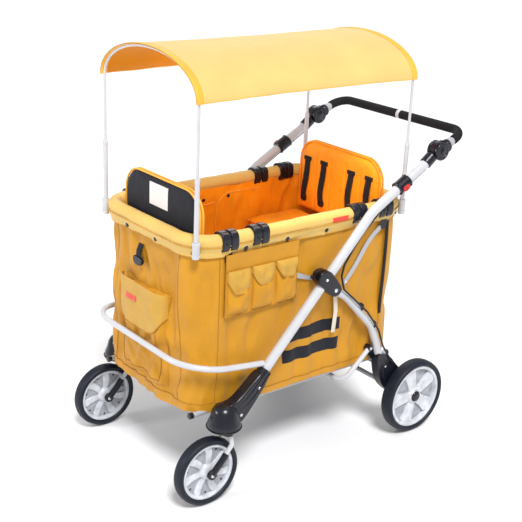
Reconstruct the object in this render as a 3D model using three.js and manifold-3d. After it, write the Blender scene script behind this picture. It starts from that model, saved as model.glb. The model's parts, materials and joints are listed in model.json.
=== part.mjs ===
// A four-wheeled folding wagon for young children: a fabric cabin with two benches and a canopy,
// hung in a tubular frame with swivelling front wheels and a push handle.
// Millimetres, +Z up. The front faces -Y and the wagon's left side is +X.
// Pieces are drawn with y = 0 at the middle of the cabin, then the whole is centred over its wheelbase.

import * as THREE from 'three';
import { mergeVertices } from 'three/addons/utils/BufferGeometryUtils.js';
import Module from 'manifold-3d';

const wasm = await Module();
wasm.setup();

// ---------------------------------------------------------------- driving dimensions

const gap = 0.3;             // between pieces that touch
const free = 0.5;            // between a pin and the bore that it turns in
const sides = 10;            // facets round a tube
const pinSides = 12;         // facets round a pin, a post or a bore
const wheelSides = 26;

const rimHalfWidth = 240;    // centre line of the cabin's top tube
const rimHalfLength = 395;
const rimCorner = 85;
const rimZ = 780;
const rimTube = 11;
const rollRadius = 22;       // rolled fabric round the top tube

const hingeFromEnd = { front: [101, 209], rear: [203, 93] };   // from the rim's end to each knuckle
const hingeHalf = 28;
const strutOut = 7;          // inner face of the flat struts outside the rim's centre line
const strutThickness = 4;
const strutDrop = 54;        // upper end of the struts below the rim

const cabinClear = 46;       // cabin's bottom above the top of the forks
const fabricWall = 5;
const fabricOut = 3;         // outer face of the walls outside the rim's centre line
const floorCloth = 2;
const boardThickness = 6;
const boardIn = 9;           // edge of the floor board inside the rim's centre line
const railTube = 8;
const railIn = 14;
const tieTube = 7;
const tieFromEnd = 95;

const frontWheelRadius = 105;
const frontWheelWidth = 38;
const casterIn = 79;         // swivel axis behind the rim's front end
const casterTrail = 60;
const crownClear = 12;       // top of the fork's crown above the tyre
const forkClear = 11;        // each fork arm's centre line beside the tyre
const forkTube = 7;
const forkSleeve = 66;
const swivelPin = 6;
const domeHeight = 80;
const domeRadius = 50;

const rearWheelRadius = 125;
const rearWheelWidth = 46;
const rearAxleOut = 49;      // rear axle behind the rim's rear end
const rearWheelClear = 4;    // between the axle bracket and the tyre
const axlePin = 5;
const tyreDepth = 19;

const tubeOut = 46;          // main tubes' plane outside the rim's centre line
const mainTube = 15;
const footFromCaster = [139, 148];   // (y, z) from the top of the fork to the tube's foot
const bendFromRim = [-180, 10];      // (y, z) from the rim's rear end
const headFromRim = [42, 137];
const tubeBendRadius = 150;

const clampAlong = 319;      // from the tube's foot to the middle of the pivot clamp
const clampWall = 3;
const foldFromClamp = [34.34, -30.21];
const legIn = 19;            // legs' plane inside the main tubes' plane
const legTube = 13;
const legTopFromFold = [75, -48];
const legKneeFromFoot = [-60, 151];
const legFootFromAxle = [-114, 124];
const legBendRadius = 120;
const bracketProud = 4;      // axle bracket outside the leg
const bracketInside = 2;
const barTube = 8;
const linkFromFoot = [-60, 73];      // (y, z) from the leg's foot to the link bar's pivot
const linkReach = 105;
const linkDrop = 38;         // link bar's cross length below the cabin
const linkPin = 4;
const linkEye = 10;

const bumperTube = 9;
const bumperOut = 37;        // bumper's front length ahead of the rim's front end
const bumperAboveFoot = 58;
const bumperCorner = 125;

const jointFromHead = [43, 30];
const jointRadius = 29;
const jointCore = 20;        // thickness of the joint's middle disc
const jointCheek = 11;       // thickness of each outer disc
const buttonRadius = 8;
const buttonTravel = 3;
const buttonProud = 4;
const gripFromJoint = [115, 45];
const gripTube = 10;
const gripSocket = 42;       // from the joint's centre to the start of the handle tube
const foamStart = 68;
const foamRadius = 14.5;
const foamPart = 8;          // half of the bare length between the two foam grips
const gripCorner = 50;

const collarWall = 6;
const collarLength = 50;
const collarBack = 119;      // from the joint end of the tube, back along it
const sliderTravel = 12;

const poleIn = 4;            // canopy poles inside the rim's centre line, at the sides
const poleEndIn = 2;         // and at the ends
const poleLower = 7;
const poleUpper = 4;
const poleThick = 183;       // thick part of each pole above the rim
const socketWall = 3.5;
const socketDepth = 35;
const socketProud = 9;
const eaveAboveRim = 387;
const canopyRise = 111;
const canopyCloth = 2.4;
const canopyOverhang = 12;
const archSteps = 12;

const benchDrop = 128;       // bench tops below the rim
const benchCushion = 40;
const benchDepth = 220;
const benchIn = 18;
const benchEndIn = 45;
const benchPanel = 14;
const backThickness = 18;
const backIn = 48;
const backEndIn = 43;
const backRise = 125;        // top of the backrests above the rim
const backCorner = 70;
const backLift = 8;          // between a bench and the foot of its backrest

const pocketDepth = 20;
const pocketWidth = 230;
const pocketSpan = [37, 322];        // lower and upper edges above the cabin's bottom
const organiserDepth = 10;
const organiserSpan = [95, 350];     // from the rim's front end
const organiserDrop = [80, 220];     // below the rim

const cableRadius = 2.5;

// ---------------------------------------------------------------- places that follow from them

const from = ([y, z], [dy, dz]) => [y + dy, z + dz];

const tubeX = rimHalfWidth + tubeOut;
const legX = tubeX - legIn;
const strutX = [rimHalfWidth + strutOut, rimHalfWidth + strutOut + strutThickness];
const railX = rimHalfWidth - railIn;
const poleX = rimHalfWidth - poleIn;
const poleY = rimHalfLength - poleEndIn;
const poleFoot = rimZ + socketProud - socketDepth;
const rearWheelX = legX + legTube + bracketProud + rearWheelClear + rearWheelWidth / 2;
const forkHalf = frontWheelWidth / 2 + forkClear;
const collarRadius = mainTube + collarWall;

// Points in the side view are (y, z).
const casterY = casterIn - rimHalfLength;
const forkCrown = 2 * frontWheelRadius + crownClear;
const cabinBottom = forkCrown + cabinClear;
const frontCentre = [casterY - casterTrail, frontWheelRadius];
const rearCentre = [rimHalfLength + rearAxleOut, rearWheelRadius];
const tubeFoot = from([casterY, forkCrown], footFromCaster);
const tubeBend = from([rimHalfLength, rimZ], bendFromRim);
const tubeHead = from([rimHalfLength, rimZ], headFromRim);
const jointCentre = from(tubeHead, jointFromHead);
const gripPlace = from(jointCentre, gripFromJoint);

const lower = heading(tubeFoot, tubeBend);
const upper = heading(tubeBend, tubeHead);
const handleRise = heading(jointCentre, gripPlace);

const clampAt = move(tubeFoot, lower, clampAlong);
const foldPivot = from(clampAt, foldFromClamp);
const legTop = from(foldPivot, legTopFromFold);
const legFoot = from(rearCentre, legFootFromAxle);
const legKnee = from(legFoot, legKneeFromFoot);
const linkPivot = from(legFoot, linkFromFoot);
const linkCross = [linkPivot[0] - linkReach, cabinBottom - linkDrop];

const hingePlaces = {
  front: hingeFromEnd.front.map((inset) => inset - rimHalfLength),
  rear: hingeFromEnd.rear.map((inset) => rimHalfLength - inset),
};
const strutTop = rimZ - strutDrop;
const benchTop = rimZ - benchDrop;
const benchHalfWidth = rimHalfWidth - benchIn;
const benchBackY = rimHalfLength - benchEndIn;
const benchFrontY = benchBackY - benchDepth;
const backHalfWidth = rimHalfWidth - backIn;
const backFace = rimHalfLength - backEndIn;
const backTop = rimZ + backRise;
const canopyEave = rimZ + eaveAboveRim;

// ---------------------------------------------------------------- materials

const paint = { color: 0xe9ebec, roughness: 0.35, metalness: 0.3 };
const plastic = { color: 0x15171b, roughness: 0.5, metalness: 0 };
const silver = { color: 0xb9bcc0, roughness: 0.35, metalness: 0.6 };
const rubber = { color: 0x1b1f26, roughness: 0.75, metalness: 0 };
const foam = { color: 0x1d1d1f, roughness: 0.9, metalness: 0 };
const yellow = { color: 0xe2ab3c, roughness: 0.85, metalness: 0 };
const paleYellow = { color: 0xecc873, roughness: 0.85, metalness: 0 };
const orange = { color: 0xee7d10, roughness: 0.85, metalness: 0 };
const red = { color: 0xc8201c, roughness: 0.4, metalness: 0 };
const wheelWhite = { color: 0xdcdfe2, roughness: 0.45, metalness: 0.1 };

// ---------------------------------------------------------------- building blocks

function indexed(geometry) {
  const bare = new THREE.BufferGeometry();
  bare.setAttribute('position', geometry.getAttribute('position'));
  if (geometry.index) bare.setIndex(geometry.index);
  return mergeVertices(bare, 1e-3);
}

function solid(geometry) {
  const shape = indexed(geometry);
  return new wasm.Manifold(new wasm.Mesh({
    numProp: 3,
    vertProperties: new Float32Array(shape.getAttribute('position').array),
    triVerts: new Uint32Array(shape.index.array),
  }));
}

function geometryOf(body) {
  const mesh = body.getMesh();
  const geometry = new THREE.BufferGeometry();
  geometry.setAttribute('position', new THREE.BufferAttribute(mesh.vertProperties, 3));
  geometry.setIndex(new THREE.BufferAttribute(mesh.triVerts, 1));
  return geometry;
}

function join(...pieces) {
  return geometryOf(pieces.map(solid).reduce((sum, next) => sum.add(next)));
}

function cut(base, ...tools) {
  return geometryOf(tools.map(solid).reduce((rest, next) => rest.subtract(next), solid(base)));
}

function mirrored(geometry) {
  const copy = indexed(geometry);
  copy.scale(-1, 1, 1);
  const order = copy.index.array;
  for (let i = 0; i < order.length; i += 3) [order[i], order[i + 1]] = [order[i + 1], order[i]];
  return copy;
}

function block(x0, x1, y0, y1, z0, z1) {
  const box = new THREE.BoxGeometry(x1 - x0, y1 - y0, z1 - z0);
  return box.translate((x0 + x1) / 2, (y0 + y1) / 2, (z0 + z1) / 2);
}

// A flat plate with its outline in (y, z), from x0 to x1.
function sidePlate(outline, x0, x1) {
  const shape = new THREE.Shape(outline.map(([y, z]) => new THREE.Vector2(y, z)));
  const plate = new THREE.ExtrudeGeometry(shape, { depth: x1 - x0, bevelEnabled: false });
  return plate.applyMatrix4(new THREE.Matrix4().set(0, 0, 1, x0, 1, 0, 0, 0, 0, 1, 0, 0, 0, 0, 0, 1));
}

// A flat plate with its outline in (x, z), from y0 to y1.
function crossPlate(outline, y0, y1) {
  const shape = new THREE.Shape(outline.map(([x, z]) => new THREE.Vector2(x, z)));
  const plate = new THREE.ExtrudeGeometry(shape, { depth: y1 - y0, bevelEnabled: false });
  return plate.applyMatrix4(new THREE.Matrix4().set(1, 0, 0, 0, 0, 0, -1, y1, 0, 1, 0, 0, 0, 0, 0, 1));
}

// A round bar along X at (y, z).
function pin(radius, x0, x1, [y, z], facets = pinSides) {
  const bar = new THREE.CylinderGeometry(radius, radius, x1 - x0, facets);
  return bar.rotateZ(Math.PI / 2).translate((x0 + x1) / 2, y, z);
}

// A round post along Z at (x, y).
function post(radius, x, y, z0, z1, facets = pinSides) {
  return new THREE.CylinderGeometry(radius, radius, z1 - z0, facets)
    .rotateX(Math.PI / 2).translate(x, y, (z0 + z1) / 2);
}

// A centre line stepped exactly on its own points, so straight lengths cost no extra facets.
class PointPath extends THREE.Curve {
  constructor(points) {
    super();
    this.points = points;
  }

  getPoint(t) {
    const place = t * (this.points.length - 1);
    const before = Math.min(Math.floor(place + 1e-9), this.points.length - 2);
    return this.points[before].clone().lerp(this.points[before + 1], place - before);
  }

  getPointAt(u) {
    return this.getPoint(u);
  }

  getTangentAt(u) {
    const last = this.points.length - 1;
    const here = Math.round(u * last);
    const previous = Math.max(here, 1) - 1;
    const incoming = this.points[previous + 1].clone().sub(this.points[previous]).normalize();
    const next = Math.min(here, last - 1);
    const outgoing = this.points[next + 1].clone().sub(this.points[next]).normalize();
    return incoming.add(outgoing).normalize();
  }
}

// Corner points of a route, each rounded to a bend of the given radius.
function rounded(corners, bend, steps = 3) {
  const points = corners.map((corner) => new THREE.Vector3(...corner));
  const route = [points[0]];
  for (let i = 1; i < points.length - 1; i += 1) {
    const back = points[i - 1].clone().sub(points[i]).normalize();
    const on = points[i + 1].clone().sub(points[i]).normalize();
    const half = back.angleTo(on) / 2;
    const inward = back.clone().add(on).normalize();
    const centre = points[i].clone().addScaledVector(inward, bend / Math.sin(half));
    const start = points[i].clone().addScaledVector(back, bend / Math.tan(half)).sub(centre);
    const end = points[i].clone().addScaledVector(on, bend / Math.tan(half)).sub(centre);
    const turn = Math.PI - 2 * half;
    for (let k = 0; k <= steps; k += 1) {
      const a = Math.sin(turn * (1 - k / steps)) / Math.sin(turn);
      const b = Math.sin((turn * k) / steps) / Math.sin(turn);
      route.push(centre.clone().addScaledVector(start, a).addScaledVector(end, b));
    }
  }
  route.push(points[points.length - 1]);
  return route;
}

function tube(route, radius, facets = sides) {
  const section = new THREE.Shape();
  for (let k = 0; k < facets; k += 1) {
    const angle = (2 * Math.PI * k) / facets;
    const point = [radius * Math.cos(angle), radius * Math.sin(angle)];
    if (k === 0) section.moveTo(...point);
    else section.lineTo(...point);
  }
  const path = new PointPath(route);
  const bar = new THREE.ExtrudeGeometry(section, {
    steps: route.length - 1, extrudePath: path, curveSegments: 1,
  });
  return indexed(bar);
}

function straightTube(ends, radius, facets) {
  return tube(ends.map((end) => new THREE.Vector3(...end)), radius, facets);
}

// A route that lies flat: its section stays upright, with the outward side first.
class FlatPath extends PointPath {
  computeFrenetFrames(segments) {
    const tangents = [];
    const normals = [];
    const binormals = [];
    for (let i = 0; i <= segments; i += 1) {
      const tangent = this.getTangentAt(i / segments);
      tangents.push(tangent);
      normals.push(new THREE.Vector3(0, 0, 1).cross(tangent));
      binormals.push(new THREE.Vector3(0, 0, 1));
    }
    return { tangents, normals, binormals };
  }
}

// A closed section [outward, z] carried round the rounded rectangle of the cabin's rim.
function rimSweep(section) {
  const route = rounded([
    [-1, rimHalfLength, 0], [rimHalfWidth, rimHalfLength, 0],
    [rimHalfWidth, -rimHalfLength, 0], [-1, -rimHalfLength, 0],
  ], rimCorner, 3);
  const shape = new THREE.Shape(section.map(([out, z]) => new THREE.Vector2(out, z)));
  const half = indexed(new THREE.ExtrudeGeometry(shape, {
    steps: route.length - 1, extrudePath: new FlatPath(route), curveSegments: 1,
  }));
  return join(half, mirrored(half));
}

// A level plate with the rim's outline, drawn in by an inset.
function rimPlate(inset, z0, z1) {
  const x = rimHalfWidth - inset;
  const y = rimHalfLength - inset;
  const right = rounded([[-x, y, 0], [x, y, 0], [x, -y, 0], [-x, -y, 0]], rimCorner - inset, 3).slice(1, -1);
  const outline = [...right, ...right.map((point) => new THREE.Vector3(-point.x, point.y, 0)).reverse()];
  const plate = new THREE.ExtrudeGeometry(new THREE.Shape(outline), { depth: z1 - z0, bevelEnabled: false });
  return plate.translate(0, 0, z0);
}

// A turned part about the X axis through (y, z), its profile listed as [radius, x].
function turned(profile, [y, z], facets) {
  const shape = new THREE.LatheGeometry(profile.map(([radius, x]) => new THREE.Vector2(radius, x)), facets);
  return shape.rotateZ(-Math.PI / 2).translate(0, y, z);
}

// Directions along and across the two straight lengths of the main tube, in (y, z).
function heading(from, to) {
  const length = Math.hypot(to[0] - from[0], to[1] - from[1]);
  return [(to[0] - from[0]) / length, (to[1] - from[1]) / length];
}

function move([y, z], direction, along, across = 0) {
  return [y + direction[0] * along - direction[1] * across, z + direction[1] * along + direction[0] * across];
}

const atX = (x, points) => points.map(([y, z]) => [x, y, z]);

// An outline of even width round a line of (y, z) points.
function barOutline(line, half) {
  const left = [];
  const right = [];
  line.forEach((point, i) => {
    const direction = heading(line[Math.max(i - 1, 0)], line[Math.min(i + 1, line.length - 1)]);
    left.push(move(point, direction, 0, half));
    right.unshift(move(point, direction, 0, -half));
  });
  return [...left, ...right];
}

// ---------------------------------------------------------------- frame

const mainRoute = (shorter = 0) => rounded(atX(tubeX, [
  move(tubeFoot, lower, -24 + shorter), tubeBend, move(tubeHead, upper, 12 - shorter),
]), tubeBendRadius);

const mainTubeSolid = () => tube(mainRoute(), mainTube);
const mainTubeRoom = () => tube(mainRoute(-gap), mainTube + gap);

function frontBumper() {
  const start = move(tubeFoot, lower, 16, mainTube + bumperTube - 6);
  const front = [-rimHalfLength - bumperOut, tubeFoot[1] + bumperAboveFoot];
  const hoop = tube(rounded([
    [tubeX, ...start], [tubeX, ...front], [-tubeX, ...front], [-tubeX, ...start],
  ], bumperCorner, 4), bumperTube);
  const room = mainTubeRoom();
  return cut(hoop, room, mirrored(room));
}

function casterHousing() {
  const top = tubeFoot;
  const arm = sidePlate([
    move(top, lower, 0, mainTube + 5), [casterY + 66, forkCrown + 110], [casterY + 26, forkCrown + domeHeight],
    [casterY, forkCrown + domeHeight], [casterY, forkCrown + 6], [casterY + 44, forkCrown + 10],
    [casterY + 94, forkCrown + 56], move(top, lower, 0, -mainTube - 5),
  ], tubeX - mainTube - 4, tubeX + mainTube + 5);
  const dome = new THREE.LatheGeometry([
    [0, 0], [domeRadius - 7, 0], [domeRadius, 8], [domeRadius - 1, 29], [41, 40], [36, 62],
    [22, domeHeight - 2], [0, domeHeight],
  ].map((point) => new THREE.Vector2(...point)), 14)
    .rotateX(Math.PI / 2).translate(tubeX, casterY, forkCrown + 2);
  const bore = post(swivelPin + free, tubeX, casterY, forkCrown, forkCrown + 60);
  return cut(join(arm, dome), bore, mainTubeRoom());
}

function fork() {
  const knee = [casterY + 9, forkCrown - 38];
  const crown = join(
    block(tubeX - forkHalf - 6, tubeX + forkHalf + 6, casterY - 15, casterY + 15, forkCrown - 9, forkCrown),
    post(26, tubeX, casterY, forkCrown - 9, forkCrown),
    post(swivelPin, tubeX, casterY, forkCrown - 5, forkCrown + 58, 12),
  );
  const arms = [-forkHalf, forkHalf].map((offset) => {
    const x = tubeX + offset;
    const leg = tube(rounded([
      [x, casterY + 4, forkCrown - 4], [x, ...knee], [x, ...frontCentre],
    ], 18, 1), forkTube, 8);
    const sleeveTop = move(frontCentre, heading(frontCentre, knee), forkSleeve);
    const sleeve = straightTube(atX(x, [sleeveTop, frontCentre]), forkTube + 1.5, 8);
    return join(leg, sleeve, pin(12, x - 6, x + 6, frontCentre));
  });
  return join(crown, ...arms, pin(axlePin, tubeX - forkHalf, tubeX + forkHalf, frontCentre, 12));
}

function tyre(radius, width, x, centre, facets) {
  const half = width / 2;
  const inner = radius - tyreDepth;
  return turned([
    [inner, x - half + 5], [inner + 9, x - half], [radius, x - half + 12],
    [radius, x + half - 12], [inner + 9, x + half], [inner, x + half - 5], [inner, x - half + 5],
  ], centre, facets);
}

function wheelRim(radius, width, x, centre, facets) {
  const outer = radius - tyreDepth - gap;
  const half = width / 2 - 5;
  return turned([
    [outer, x - half], [outer, x + half], [outer - 8, x + half], [outer - 8, x - half], [outer, x - half],
  ], centre, facets);
}

// A wheel's spokes, as flat blades from the boss to the rim.
function spokes(count, reach, breadth, x0, x1, centre) {
  const blades = [];
  for (let k = 0; k < count; k += 1) {
    const blade = block(x0, x1, -breadth / 2, breadth / 2, 12, reach);
    blades.push(blade.rotateX((2 * Math.PI * k) / count).translate(0, ...centre));
  }
  return join(...blades);
}

function frontHub() {
  const boss = pin(20, tubeX - 17, tubeX + 17, frontCentre);
  const ring = wheelRim(frontWheelRadius, frontWheelWidth, tubeX, frontCentre, wheelSides);
  const blades = spokes(6, frontWheelRadius - tyreDepth - 4, 26, tubeX - 8, tubeX + 8, frontCentre);
  return cut(join(ring, blades, boss), pin(axlePin + free, tubeX - 30, tubeX + 30, frontCentre));
}

function rearHub() {
  const outer = rearWheelX + rearWheelWidth / 2;
  const boss = pin(20, outer - rearWheelWidth + 4, outer + 1, rearCentre);
  const ring = wheelRim(rearWheelRadius, rearWheelWidth, rearWheelX, rearCentre, wheelSides);
  const blades = spokes(5, rearWheelRadius - tyreDepth - 4, 34, rearWheelX - 6, rearWheelX + 12, rearCentre);
  return cut(join(ring, blades, boss), pin(axlePin + free, outer - rearWheelWidth, outer - 5, rearCentre));
}

// ---------------------------------------------------------------- folding legs

const legRoute = (...start) => rounded(atX(legX, [...start, legTop, legKnee, legFoot]), legBendRadius, 2);

function rearLeg() {
  const route = legRoute(foldPivot);
  const leg = join(tube(route, legTube), pin(15, legX - legTube, legX + legTube, foldPivot));
  return cut(leg, pin(axlePin + 1 + free, legX - 20, legX + 20, foldPivot));
}

const legRoom = () => tube(legRoute(), legTube + gap);

// Black brackets under the legs carry the wheels' stub axles and the two cross bars.
function rearAxle() {
  const bracket = (side) => {
    const plate = sidePlate([
      from(legFoot, [-30, 13]), from(legFoot, [-8, 39]), from(legFoot, [20, 27]), from(legFoot, [68, -23]),
      from(rearCentre, [26, 27]), from(rearCentre, [22, -21]), from(rearCentre, [-14, -25]),
      from(legFoot, [22, -101]), from(legFoot, [-12, -59]),
    ], legX - legTube - bracketInside, legX + legTube + bracketProud);
    const lug = sidePlate([
      from(linkPivot, [-9, -10]), from(linkPivot, [-9, 10]), from(linkPivot, [10, 10]),
      from(legFoot, [-12, 26]), from(legFoot, [-28, 13]),
    ], legX - legTube - bracketInside, legX - barTube - gap);
    const hook = pin(linkPin, legX - legTube, legX + barTube, linkPivot);
    const stub = pin(axlePin, legX, rearWheelX + rearWheelWidth / 2 - 6, rearCentre);
    const whole = cut(join(plate, lug, hook, stub), legRoom());
    return side > 0 ? whole : mirrored(whole);
  };
  const bars = [[15, -67], [72, -49]].map((place) => pin(barTube, -legX, legX, from(legFoot, place), sides));
  return join(bracket(1), bracket(-1), ...bars);
}

// The link bar hangs from the legs' lugs and crosses under the floor.
function linkBar() {
  const hoop = tube(rounded([
    [legX, ...linkPivot], [legX, ...linkCross], [-legX, ...linkCross], [-legX, ...linkPivot],
  ], 40, 2), barTube, 8);
  const eyes = [-legX, legX].map((x) => pin(linkEye, x - barTube, x + barTube, linkPivot));
  const bores = [-legX, legX].map((x) => pin(linkPin + free, x - 2 * barTube, x + 2 * barTube, linkPivot));
  return cut(join(hoop, ...eyes), ...bores);
}

function pivotClamp() {
  const around = (points) => points.map((point) => from(clampAt, point));
  const outer = tubeX + mainTube + clampWall;
  const plate = sidePlate(around([
    [-39, 9], [-33, 29], [-21, 38], [3, 38], [53, -19], [57, -37], [41, -50], [17, -47],
  ]), legX + legTube + gap, outer);
  const wrap = sidePlate(around([
    [-39, 9], [-33, 29], [-21, 38], [3, 38], [29, 9], [-5, -25],
  ]), tubeX - mainTube - clampWall - 2, outer);
  const axle = pin(axlePin + 1, legX - legTube + 1, tubeX, foldPivot);
  const strutStud = pin(6, strutX[1] + gap, tubeX - mainTube - clampWall, from(clampAt, [-23, 9]));
  return cut(join(plate, wrap, axle, strutStud), mainTubeRoom());
}

function frontStrut() {
  return sidePlate(barOutline([from(clampAt, [-9, -3]), [hingePlaces.front[0], strutTop]], 9), ...strutX);
}

function rearStrut() {
  const end = [hingePlaces.rear[1], strutTop];
  const line = [from(legTop, [0, 31]), from(legTop, [45, 80]), from(end, [-52, -36]), end];
  return sidePlate(barOutline(line, 8), ...strutX);
}

// ---------------------------------------------------------------- cabin

// The rim's round section, with some room round it where it cuts a seat for itself.
function rimRing(room = 0) {
  const section = [];
  for (let k = 0; k < 8; k += 1) {
    const angle = (2 * Math.PI * (k + 0.5)) / 8;
    section.push([(rimTube + room) * Math.cos(angle), rimZ + (rimTube + room) * Math.sin(angle)]);
  }
  return rimSweep(section);
}

const cupRadius = poleLower + free + socketWall;

function rimFrame() {
  const pieces = [rimRing()];
  const bores = [];
  for (const sx of [-1, 1]) {
    for (const sy of [-1, 1]) {
      const x = sx * poleX;
      const y = sy * poleY;
      const inward = [sx * (rimHalfWidth - rimCorner * 0.3), sy * (rimHalfLength - rimCorner * 0.3), rimZ];
      const stud = straightTube([inward, [x - sx * poleLower, y - sy * poleLower, rimZ]], 4.5, 6);
      const cup = post(cupRadius, x, y, poleFoot - 4, rimZ + socketProud);
      pieces.push(stud, cup);
      bores.push(post(poleLower + free, x, y, poleFoot, rimZ + socketProud + 1));
    }
  }
  return cut(join(...pieces), ...bores);
}

function rimHinge([yFirst, yLast]) {
  const knuckles = [yFirst, yLast].map((y) => {
    const shell = crossPlate([
      [rimHalfWidth - 26, rimZ - 26], [rimHalfWidth + 16, rimZ - 28], [rimHalfWidth + 25, rimZ - 18],
      [rimHalfWidth + 25, rimZ + 12], [rimHalfWidth + 14, rimZ + 28], [rimHalfWidth - 16, rimZ + 28],
      [rimHalfWidth - 26, rimZ + 18],
    ], y - hingeHalf, y + hingeHalf);
    const groove = block(rimHalfWidth + 18, rimHalfWidth + 30, y - 2, y + 2, rimZ - 40, rimZ + 40);
    return cut(shell, groove);
  });
  const plate = block(rimHalfWidth - 31, rimHalfWidth - 26 + 1, yFirst, yLast, rimZ - 20, rimZ + 16);
  const strutEnd = Math.abs(yFirst) > Math.abs(yLast) ? yFirst : yLast;
  const lug = block(strutX[1] + gap, strutX[1] + 6, strutEnd - 13, strutEnd + 13, strutTop - 13, rimZ - 20);
  return cut(join(...knuckles, plate, lug), rimRing(0.6));
}

function cabinFabric() {
  const hook = [
    [fabricOut, cabinBottom], [fabricOut, rimZ - 45], [20, rimZ - 28], [rollRadius, rimZ], [13, rimZ + 21],
    [-13, rimZ + 21], [-rollRadius, rimZ], [-19, rimZ - 28], [-13, rimZ - 28], [-14, rimZ],
    [-8, rimZ + 13], [8, rimZ + 13], [14, rimZ], [13, rimZ - 23],
    [fabricOut - fabricWall, rimZ - 42], [fabricOut - fabricWall, cabinBottom],
  ];
  const walls = rimSweep(hook);
  const floor = rimPlate(1, cabinBottom, cabinBottom + floorCloth);
  const endFace = -rimHalfLength - fabricOut;
  const tab = block(-70, 70, endFace - 3, endFace + 2, rimZ - 125, rimZ - 80);
  const room = [];
  for (const [first, last] of Object.values(hingePlaces)) {
    for (const y of [first, last]) {
      room.push(block(
        rimHalfWidth - 27, rimHalfWidth + 27, y - hingeHalf - gap, y + hingeHalf + gap, rimZ - 29, rimZ + 30));
      room.push(block(rimHalfWidth + 4, rimHalfWidth + 27, y - 14, y + 14, rimZ - 48, rimZ - 28));
    }
    room.push(block(rimHalfWidth - 33, rimHalfWidth - 20, first, last, rimZ - 29, rimZ + 18));
  }
  const studs = [-1, 1].map((sy) => tube([
    new THREE.Vector3(rimHalfWidth - rimCorner * 0.6, sy * (rimHalfLength - rimCorner * 0.6), rimZ),
    new THREE.Vector3(poleX + 10, sy * (poleY + 10), rimZ),
  ], 5.2, 8));
  const sockets = [-1, 1].map((sy) => post(cupRadius + gap, poleX, sy * poleY, rimZ - 40, rimZ + 30));
  const openings = [...room, ...studs, ...sockets];
  return cut(join(walls, floor, tab), ...openings, ...openings.map(mirrored));
}

// The front bag is sewn on the outside of the wall; the organiser hangs outside the front strut.
function frontPocket() {
  const face = -rimHalfLength - fabricOut - gap;
  return block(
    -pocketWidth / 2 - 3, pocketWidth / 2 - 3, face - pocketDepth, face,
    cabinBottom + pocketSpan[0], cabinBottom + pocketSpan[1]);
}

function sideOrganiser() {
  return block(
    strutX[1] + gap, strutX[1] + gap + organiserDepth,
    organiserSpan[0] - rimHalfLength, organiserSpan[1] - rimHalfLength,
    rimZ - organiserDrop[1], rimZ - organiserDrop[0]);
}

const boardTop = cabinBottom + floorCloth + boardThickness;
const floorBoard = () => rimPlate(boardIn, cabinBottom + floorCloth + gap, boardTop);

// Two rails under the floor, tied by three cross tubes.
function floorFrame() {
  const z = cabinBottom - gap - railTube;
  const end = rimHalfLength + fabricOut;
  const rail = (x) => straightTube([[x, -end, z], [x, end, z]], railTube);
  const ties = [-1, 0, 1].map((place) => pin(
    tieTube, -railX, railX, [place * (rimHalfLength - tieFromEnd), z], sides));
  return join(rail(railX), rail(-railX), ...ties);
}

// A bench along the end of the cabin: a thick cushion on a panel that stands on the floor.
function bench(end) {
  const y0 = Math.min(end * benchFrontY, end * benchBackY);
  const y1 = Math.max(end * benchFrontY, end * benchBackY);
  const panelY = end > 0 ? y0 : y1 - benchPanel;
  const cushion = block(-benchHalfWidth, benchHalfWidth, y0, y1, benchTop - benchCushion, benchTop);
  const panel = block(
    -benchHalfWidth, benchHalfWidth, panelY, panelY + benchPanel, boardTop + gap, benchTop - benchCushion + 2);
  return join(cushion, panel);
}

// A rounded back that stands just inside the roll and folds down over the bench.
function backrest(end) {
  const corner = [];
  for (let k = 0; k <= 4; k += 1) {
    const angle = (k / 4) * (Math.PI / 2);
    corner.push([
      backHalfWidth - backCorner + backCorner * Math.cos(angle),
      backTop - backCorner + backCorner * Math.sin(angle),
    ]);
  }
  const outline = [[backHalfWidth, benchTop + backLift], ...corner,
    ...corner.map(([x, z]) => [-x, z]).reverse(), [-backHalfWidth, benchTop + backLift]];
  const y0 = end > 0 ? backFace - backThickness : -backFace;
  return crossPlate(outline, y0, y0 + backThickness);
}

// ---------------------------------------------------------------- canopy

function archPoints(halfWidth, rise, base, steps) {
  const points = [];
  for (let k = 0; k <= steps; k += 1) {
    const angle = (Math.PI * k) / steps;
    points.push([halfWidth * Math.cos(angle), base + rise * Math.sin(angle)]);
  }
  return points;
}

function canopyFrame(end) {
  const y = end * poleY;
  const foot = poleFoot + gap;
  const arch = archPoints(poleX, canopyRise, canopyEave, archSteps);
  const line = [[poleX, foot], ...arch, [-poleX, foot]];
  const hoop = tube(line.map(([x, z]) => new THREE.Vector3(x, y, z)), poleUpper, 6);
  const thick = [-1, 1].map((side) => post(poleLower, side * poleX, y, foot, rimZ + poleThick));
  return join(hoop, ...thick);
}

function canopyFabric() {
  const inner = poleUpper + gap;
  const outer = inner + canopyCloth;
  const outside = archPoints(poleX + outer, canopyRise + outer, canopyEave, archSteps);
  const inside = archPoints(poleX + inner, canopyRise + inner, canopyEave, archSteps).reverse();
  return crossPlate([...outside, ...inside], -poleY - canopyOverhang, poleY + canopyOverhang);
}

// ---------------------------------------------------------------- handle

function handleBase() {
  const sleeve = straightTube(
    atX(tubeX, [move(tubeHead, upper, -12), move(jointCentre, upper, -jointRadius - 1)]), mainTube + 4);
  const core = pin(jointRadius, tubeX - jointCore / 2, tubeX + jointCore / 2, jointCentre, 16);
  const neck = sidePlate([
    move(jointCentre, upper, 0, 13), move(jointCentre, upper, -36, 13),
    move(jointCentre, upper, -36, -13), move(jointCentre, upper, 0, -13),
  ], tubeX - jointCore / 2, tubeX + jointCore / 2);
  const bore = pin(buttonRadius + free, tubeX - 30, tubeX + 30, jointCentre);
  return cut(join(sleeve, neck, core), bore, mainTubeRoom());
}

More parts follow.
